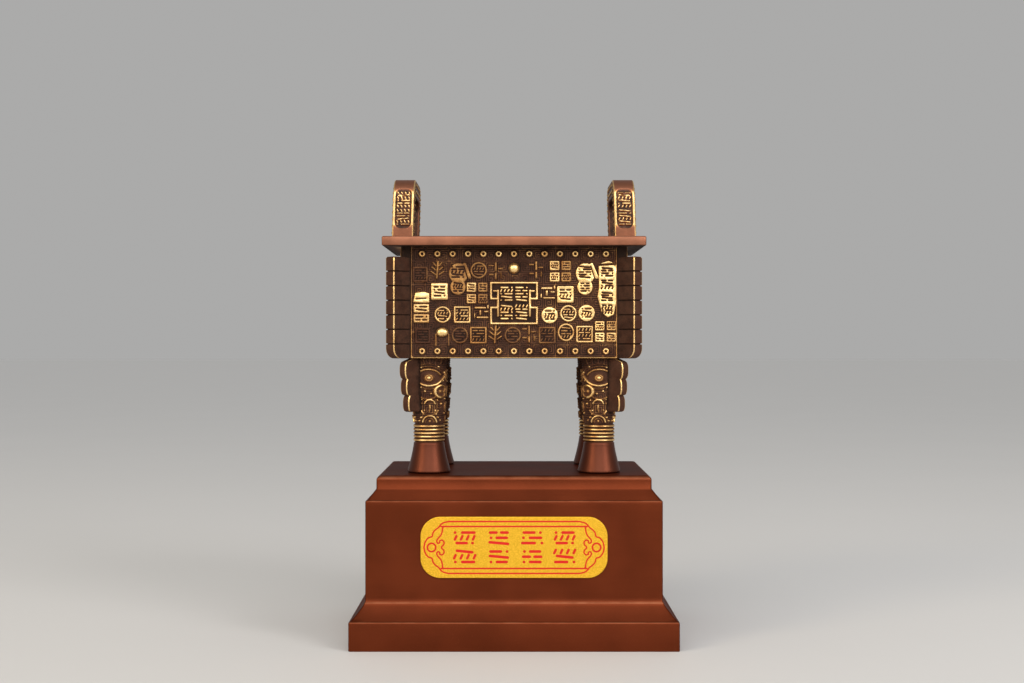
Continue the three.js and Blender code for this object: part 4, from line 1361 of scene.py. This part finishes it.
class Finish:
    """One material and its nodes."""

    def __init__(self, name):
        material = bpy.data.materials.new(name)
        material.use_nodes = True
        self.tree = material.node_tree
        self.tree.nodes.clear()
        self.shader = self.tree.nodes.new("ShaderNodeBsdfPrincipled")
        output = self.tree.nodes.new("ShaderNodeOutputMaterial")
        self.tree.links.new(self.shader.outputs[0], output.inputs[0])
        self.place = self.add("ShaderNodeTexCoord", output="Object")

    def add(self, kind, settings=None, inputs=None, output=0):
        """A node of any type: its settings first, then its sockets' values or wires."""
        node = self.tree.nodes.new(kind)
        for key, value in (settings or {}).items():
            setattr(node, key, value)
        for key, value in (inputs or {}).items():
            feed(node.inputs[key], value)
        return Wire(node.outputs[output])

    def noise(self, size, detail=3.0, stretch=None):
        """Soft noise whose patches are about that many millimetres across."""
        place = self.place
        if stretch:
            place = self.add("ShaderNodeVectorMath", {"operation": "MULTIPLY"}, {0: place, 1: stretch})
        inputs = {"Vector": place, "Scale": 1 / (size * MM), "Detail": detail}
        return self.add("ShaderNodeTexNoise", inputs=inputs)

    def attribute(self, name):
        return self.add("ShaderNodeAttribute", {"attribute_name": name}, output="Fac")

    def mix(self, factor, first, second, blend="MIX"):
        settings = {"data_type": "RGBA", "blend_type": blend}
        return self.add("ShaderNodeMix", settings, {0: factor, 6: first, 7: second}, output=2)

    def ramp(self, factor, stops):
        """Colours along a scale, given as places on it and colours."""
        wire = self.add("ShaderNodeValToRGB", inputs={0: factor})
        elements = wire.socket.node.color_ramp.elements
        while len(elements) < len(stops):
            elements.new(0.5)
        for element, (position, value) in zip(elements, stops):
            element.position = position
            element.color = shade(value)
        return wire

    def bump(self, height, depth):
        """Tiny unevenness of the surface, of that many millimetres."""
        inputs = {"Height": height, "Distance": depth * MM, "Strength": 1.0}
        feed(self.shader.inputs["Normal"], self.add("ShaderNodeBump", inputs=inputs))

    def set(self, **values):
        for key, value in values.items():
            feed(self.shader.inputs[key.replace("_", " ")], value)


def shade(value, factor=1.0, lift=0.0):
    """A colour for a socket, made lighter or darker."""
    return (*(min(1, factor * channel + lift) for channel in value), 1.0)


def patchy(wire, share):
    """How far a noise departs from its middle, times a share."""
    return (wire - 0.5) * share


def antique_finish(f, colours):
    """Dark patina in the hollows, rubbed to brass and gold where the relief stands out."""
    broad, fine = f.noise(4.0), f.noise(0.7, 4.0)
    tone = (f.attribute("gold") + patchy(broad, 0.26) + patchy(fine, 0.22)).limited()
    stops = [(0.0, colours.recess), (0.30, colours.patina), (0.62, colours.brass), (0.95, colours.gold)]
    stained = f.noise(6.0).between(0.42, 0.68) * 0.35
    f.set(
        Base_Color=f.mix(stained, f.ramp(tone, stops), (0.16, 0.06, 0.035, 1), "SOFT_LIGHT"),
        Metallic=0.03 + 0.92 * tone.between(0.12, 0.55),
        Roughness=0.76 - 0.42 * tone.between(0.2, 0.9) + patchy(fine, 0.14),
        Specular_IOR_Level=0.12,
    )
    f.bump(f.noise(0.35, 2.0) + f.noise(1.6, 2.0) * 1.5, 0.03)


def satin_finish(f, colours):
    """Smooth satin copper of the rim and the feet, with faint streaks and lighter flecks."""
    cloud, fine = f.noise(9.0), f.noise(0.9, 4.0)
    streak = f.noise(1.2, 2.0, stretch=(0.05, 0.05, 1.0))
    satin = colours.satin
    clouded = (cloud.between(0.35, 0.7) * 0.55 + streak * 0.25).limited()
    base = f.mix(clouded, shade(satin, 0.62), shade(satin))
    base = f.mix(fine.between(0.62, 0.8) * 0.3, base, shade(satin, 1.6, 0.06))
    # Painted shade: the darker copper that the feet are mixed towards.
    foot = [k * channel for k, channel in zip((0.26, 0.17, 0.15), satin)]
    f.set(
        Base_Color=f.mix(f.attribute("gold"), base, shade(foot)),
        Metallic=0.92,
        Roughness=0.43 + patchy(cloud, 0.12) + patchy(fine, 0.14),
    )
    f.bump(f.noise(0.5, 3.0) + streak, 0.012)


def inside_finish(f, colours):
    """Brown inside the bowl, a little rough and cloudy."""
    cloud, fine = f.noise(7.0), f.noise(0.8, 4.0)
    base = f.mix(cloud.between(0.3, 0.7), shade(colours.inside, 0.5), shade(colours.inside))
    f.set(Base_Color=base, Metallic=0.75, Roughness=0.5 + patchy(fine, 0.2))
    f.bump(fine + cloud, 0.05)


def ear_finish(f, colours):
    """Antique gold in the panel and on the edges, passing to satin copper on the plain parts."""
    broad, fine = f.noise(3.0), f.noise(0.6, 4.0)
    tone = (f.attribute("gold") + patchy(broad, 0.24) + patchy(fine, 0.18)).limited()
    stops = [
        (0.0, colours.recess), (0.22, [0.5 * c for c in colours.satin]),
        (0.45, [0.8 * c for c in colours.satin]), (0.75, colours.brass), (0.98, colours.gold),
    ]
    f.set(
        Base_Color=f.ramp(tone, stops),
        Metallic=0.6 + 0.36 * tone.between(0.05, 0.4),
        Roughness=0.5 - 0.16 * tone.between(0.2, 0.9) + patchy(fine, 0.16),
    )
    f.bump(f.noise(0.4, 2.0), 0.025)


def plinth_finish(f, colours):
    """Metallic copper-brown paint: satin, with a fine fleck, faint clouds and rubbed arrises painted lighter
    as highlights.
    """
    cloud, fleck = f.noise(26.0, 2.0), f.noise(0.35, 2.0)
    # Rubbed arrises with a painted highlight: the tone along the rounded edges lightens the paint.
    edge = f.attribute("gold") * (0.35 + 0.65 * f.noise(9.0, 3.0).between(0.3, 0.7))
    streak = f.noise(2.4, 3.0, stretch=(0.04, 0.04, 1.0))
    paint = colours.plinth
    base = f.mix((cloud * 0.85 + streak * 0.15).between(0.3, 0.7), shade(paint, 0.78), shade(paint))
    base = f.mix((fleck.between(0.6, 0.8) * 0.3).limited(), base, shade(paint, 2.2, 0.02))
    f.set(
        Base_Color=f.mix(edge * 0.45, base, (0.36, 0.14, 0.07, 1)),
        Metallic=0.8,
        Roughness=0.42 + patchy(cloud, 0.1) + patchy(fleck, 0.12),
        Specular_IOR_Level=0.1,
        Specular_Tint=(0.27, 0.25, 0.24, 1),
    )
    f.bump(f.noise(0.6, 2.0) + streak * 1.5, 0.01)


def plaque_finish(f, colours):
    """Gold sheet with a fine sparkle, printed in flat red."""
    ink = 1 - f.attribute("ink").between(-0.07, 0.07)
    inputs = {"Vector": f.place, "Scale": 1 / (0.45 * MM)}
    grain = f.add("ShaderNodeTexVoronoi", inputs=inputs, output="Distance")
    fine, cloud = f.noise(0.5, 3.0), f.noise(12.0)
    sheet = colours.plaque
    gold = f.mix(grain.between(0.1, 0.6), shade(sheet, 1.1, 0.03), shade(sheet, 0.72))
    gold = f.mix(cloud.between(0.4, 0.7) * 0.2, gold, shade(sheet, 0.8))
    red = f.mix(fine.between(0.4, 0.7) * 0.25, shade(colours.print), (0.40, 0.03, 0.02, 1))
    f.set(
        Base_Color=f.mix(ink, gold, red),
        Metallic=0.45 * (1 - ink),
        Roughness=0.36 + 0.12 * ink + patchy(fine, 0.14),
        Specular_IOR_Level=0.2,
    )
    f.bump((grain * 0.7 + fine * 0.3) * (1 - ink), 0.03)


def floor_finish(f, colours):
    """Pale floor with faint clouds."""
    base = f.mix(f.noise(180.0, 2.0), shade(colours.floor, 0.97), shade(colours.floor))
    f.set(Base_Color=base, Roughness=0.7)
    f.bump(f.noise(1.5, 2.0), 0.01)


FINISHES = {
    "antique bronze": antique_finish,
    "satin copper": satin_finish,
    "bowl inside": inside_finish,
    "ear bronze": ear_finish,
    "plinth paint": plinth_finish,
    "printed gold sheet": plaque_finish,
    "pale floor": floor_finish,
}
VESSEL_FINISHES = ("antique bronze", "satin copper", "bowl inside")


def finishes(scene, *names):
    """Materials by their names, each made the first time it is asked for."""
    for name in names:
        if name not in bpy.data.materials:
            FINISHES[name](Finish(name), scene.ding_colours)
    return [bpy.data.materials[name] for name in names]


# ---------------------------------------------------------------- operators
class PieceMaker:
    """What all the operators do: make something in the scene."""

    def execute(self, context):
        self.make(context.scene)
        return {"FINISHED"}


class DING_OT_body(PieceMaker, bpy.types.Operator):
    """Make the bowl with its rim, relief walls and corner flanges"""

    bl_idname = "ding.body"
    bl_label = "Bowl"

    def make(self, scene):
        make_body(vessel_sizes(scene), finishes(scene, *VESSEL_FINISHES))


class DING_OT_legs(PieceMaker, bpy.types.Operator):
    """Make the four legs"""

    bl_idname = "ding.legs"
    bl_label = "Legs"

    def make(self, scene):
        make_legs(vessel_sizes(scene), finishes(scene, *VESSEL_FINISHES))


class DING_OT_ears(PieceMaker, bpy.types.Operator):
    """Make the two upright ears"""

    bl_idname = "ding.ears"
    bl_label = "Ears"

    def make(self, scene):
        for ear in EARS:
            make_ear(vessel_sizes(scene), *ear, finishes(scene, "ear bronze"))


class DING_OT_plinth(PieceMaker, bpy.types.Operator):
    """Make the stepped plinth"""

    bl_idname = "ding.plinth"
    bl_label = "Plinth"

    def make(self, scene):
        make_plinth(in_millimetres(scene.ding_plinth), finishes(scene, "plinth paint"))


class DING_OT_plaque(PieceMaker, bpy.types.Operator):
    """Make the printed gold plaque"""

    bl_idname = "ding.plaque"
    bl_label = "Plaque"

    def make(self, scene):
        make_plaque(in_millimetres(scene.ding_plinth), finishes(scene, "printed gold sheet"))


def add_to_scene(name, data, place=(0, 0, 0), turn=(0, 0, 0)):
    item = bpy.data.objects.new(name, data)
    item.location = place
    item.rotation_euler = turn
    bpy.context.scene.collection.objects.link(item)
    return item


def area_light(name, place, target, size, power, tint=(1, 1, 1)):
    data = bpy.data.lights.new(name, "AREA")
    data.shape = "RECTANGLE"
    data.size, data.size_y = size
    data.energy = power
    data.color = tint
    add_to_scene(name, data, place, (Vector(target) - Vector(place)).to_track_quat("-Z", "Y").to_euler())


class DING_OT_stage(PieceMaker, bpy.types.Operator):
    """Make the pale floor, the studio light and the camera"""

    bl_idname = "ding.stage"
    bl_label = "Stage"

    def make(self, scene):
        stage = scene.ding_stage
        bpy.ops.mesh.primitive_grid_add(x_subdivisions=8, y_subdivisions=8, size=24)
        floor = bpy.context.object
        floor.name = "floor"
        floor.data.materials.append(*finishes(scene, "pale floor"))
        world = bpy.data.worlds.new("soft surroundings")
        world.use_nodes = True
        background = world.node_tree.nodes["Background"].inputs
        background["Color"].default_value = (0.97, 0.965, 0.955, 1)
        background["Strength"].default_value = stage.world
        scene.world = world
        middle = (0, 0, VESSEL_LOW[2] * MM)
        area_light("front", (0.2, -1.5, 0.75), middle, (1.4, 0.8), stage.front)
        area_light("left", (-1.25, -1.1, 0.75), middle, (0.55, 1.0), stage.left, (1.0, 0.82, 0.58))
        area_light("right", (1.15, -1.15, 0.85), middle, (0.6, 1.0), stage.right, (1.0, 0.95, 0.92))
        sun = bpy.data.lights.new("high", "SUN")
        sun.energy, sun.angle = stage.high, math.radians(60)
        add_to_scene("high", sun, turn=(math.radians(48), 0, math.radians(-12)))
        scene.view_settings.view_transform = "Standard"
        data = bpy.data.cameras.new("camera")
        data.lens = stage.lens
        data.sensor_width = 36
        place = (stage.camera_x, -stage.camera_back, stage.camera_height)
        scene.camera = add_to_scene("camera", data, place, (math.pi / 2, 0, 0))


class DING_PT_panel(bpy.types.Panel):
    """The ding's settings and the buttons that make its pieces"""

    bl_idname = "DING_PT_panel"
    bl_label = "Ding on a plinth"
    bl_space_type = "VIEW_3D"
    bl_region_type = "UI"
    bl_category = "Ding"

    def draw(self, context):
        for group in (getattr(context.scene, name) for name in GROUPS):
            box = self.layout.box()
            for key in type(group).__annotations__:
                box.prop(group, key)
        for operator in OPERATORS:
            self.layout.operator(operator.bl_idname)


OPERATORS = (DING_OT_body, DING_OT_legs, DING_OT_ears, DING_OT_plinth, DING_OT_plaque, DING_OT_stage)
GROUPS = {
    "ding_vessel": DingVesselSizes,
    "ding_plinth": DingPlinthSizes,
    "ding_colours": DingColours,
    "ding_stage": DingStageSettings,
}
CLASSES = (*GROUPS.values(), *OPERATORS, DING_PT_panel)


def register():
    for item in CLASSES:
        bpy.utils.register_class(item)
    for name, group in GROUPS.items():
        setattr(bpy.types.Scene, name, bpy.props.PointerProperty(type=group))


def unregister():
    for name in GROUPS:
        delattr(bpy.types.Scene, name)
    for item in reversed(CLASSES):
        bpy.utils.unregister_class(item)


def main():
    register()
    for operator in OPERATORS:
        getattr(bpy.ops.ding, operator.bl_idname.split(".")[1])()
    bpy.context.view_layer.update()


if __name__ == "__main__":
    main()
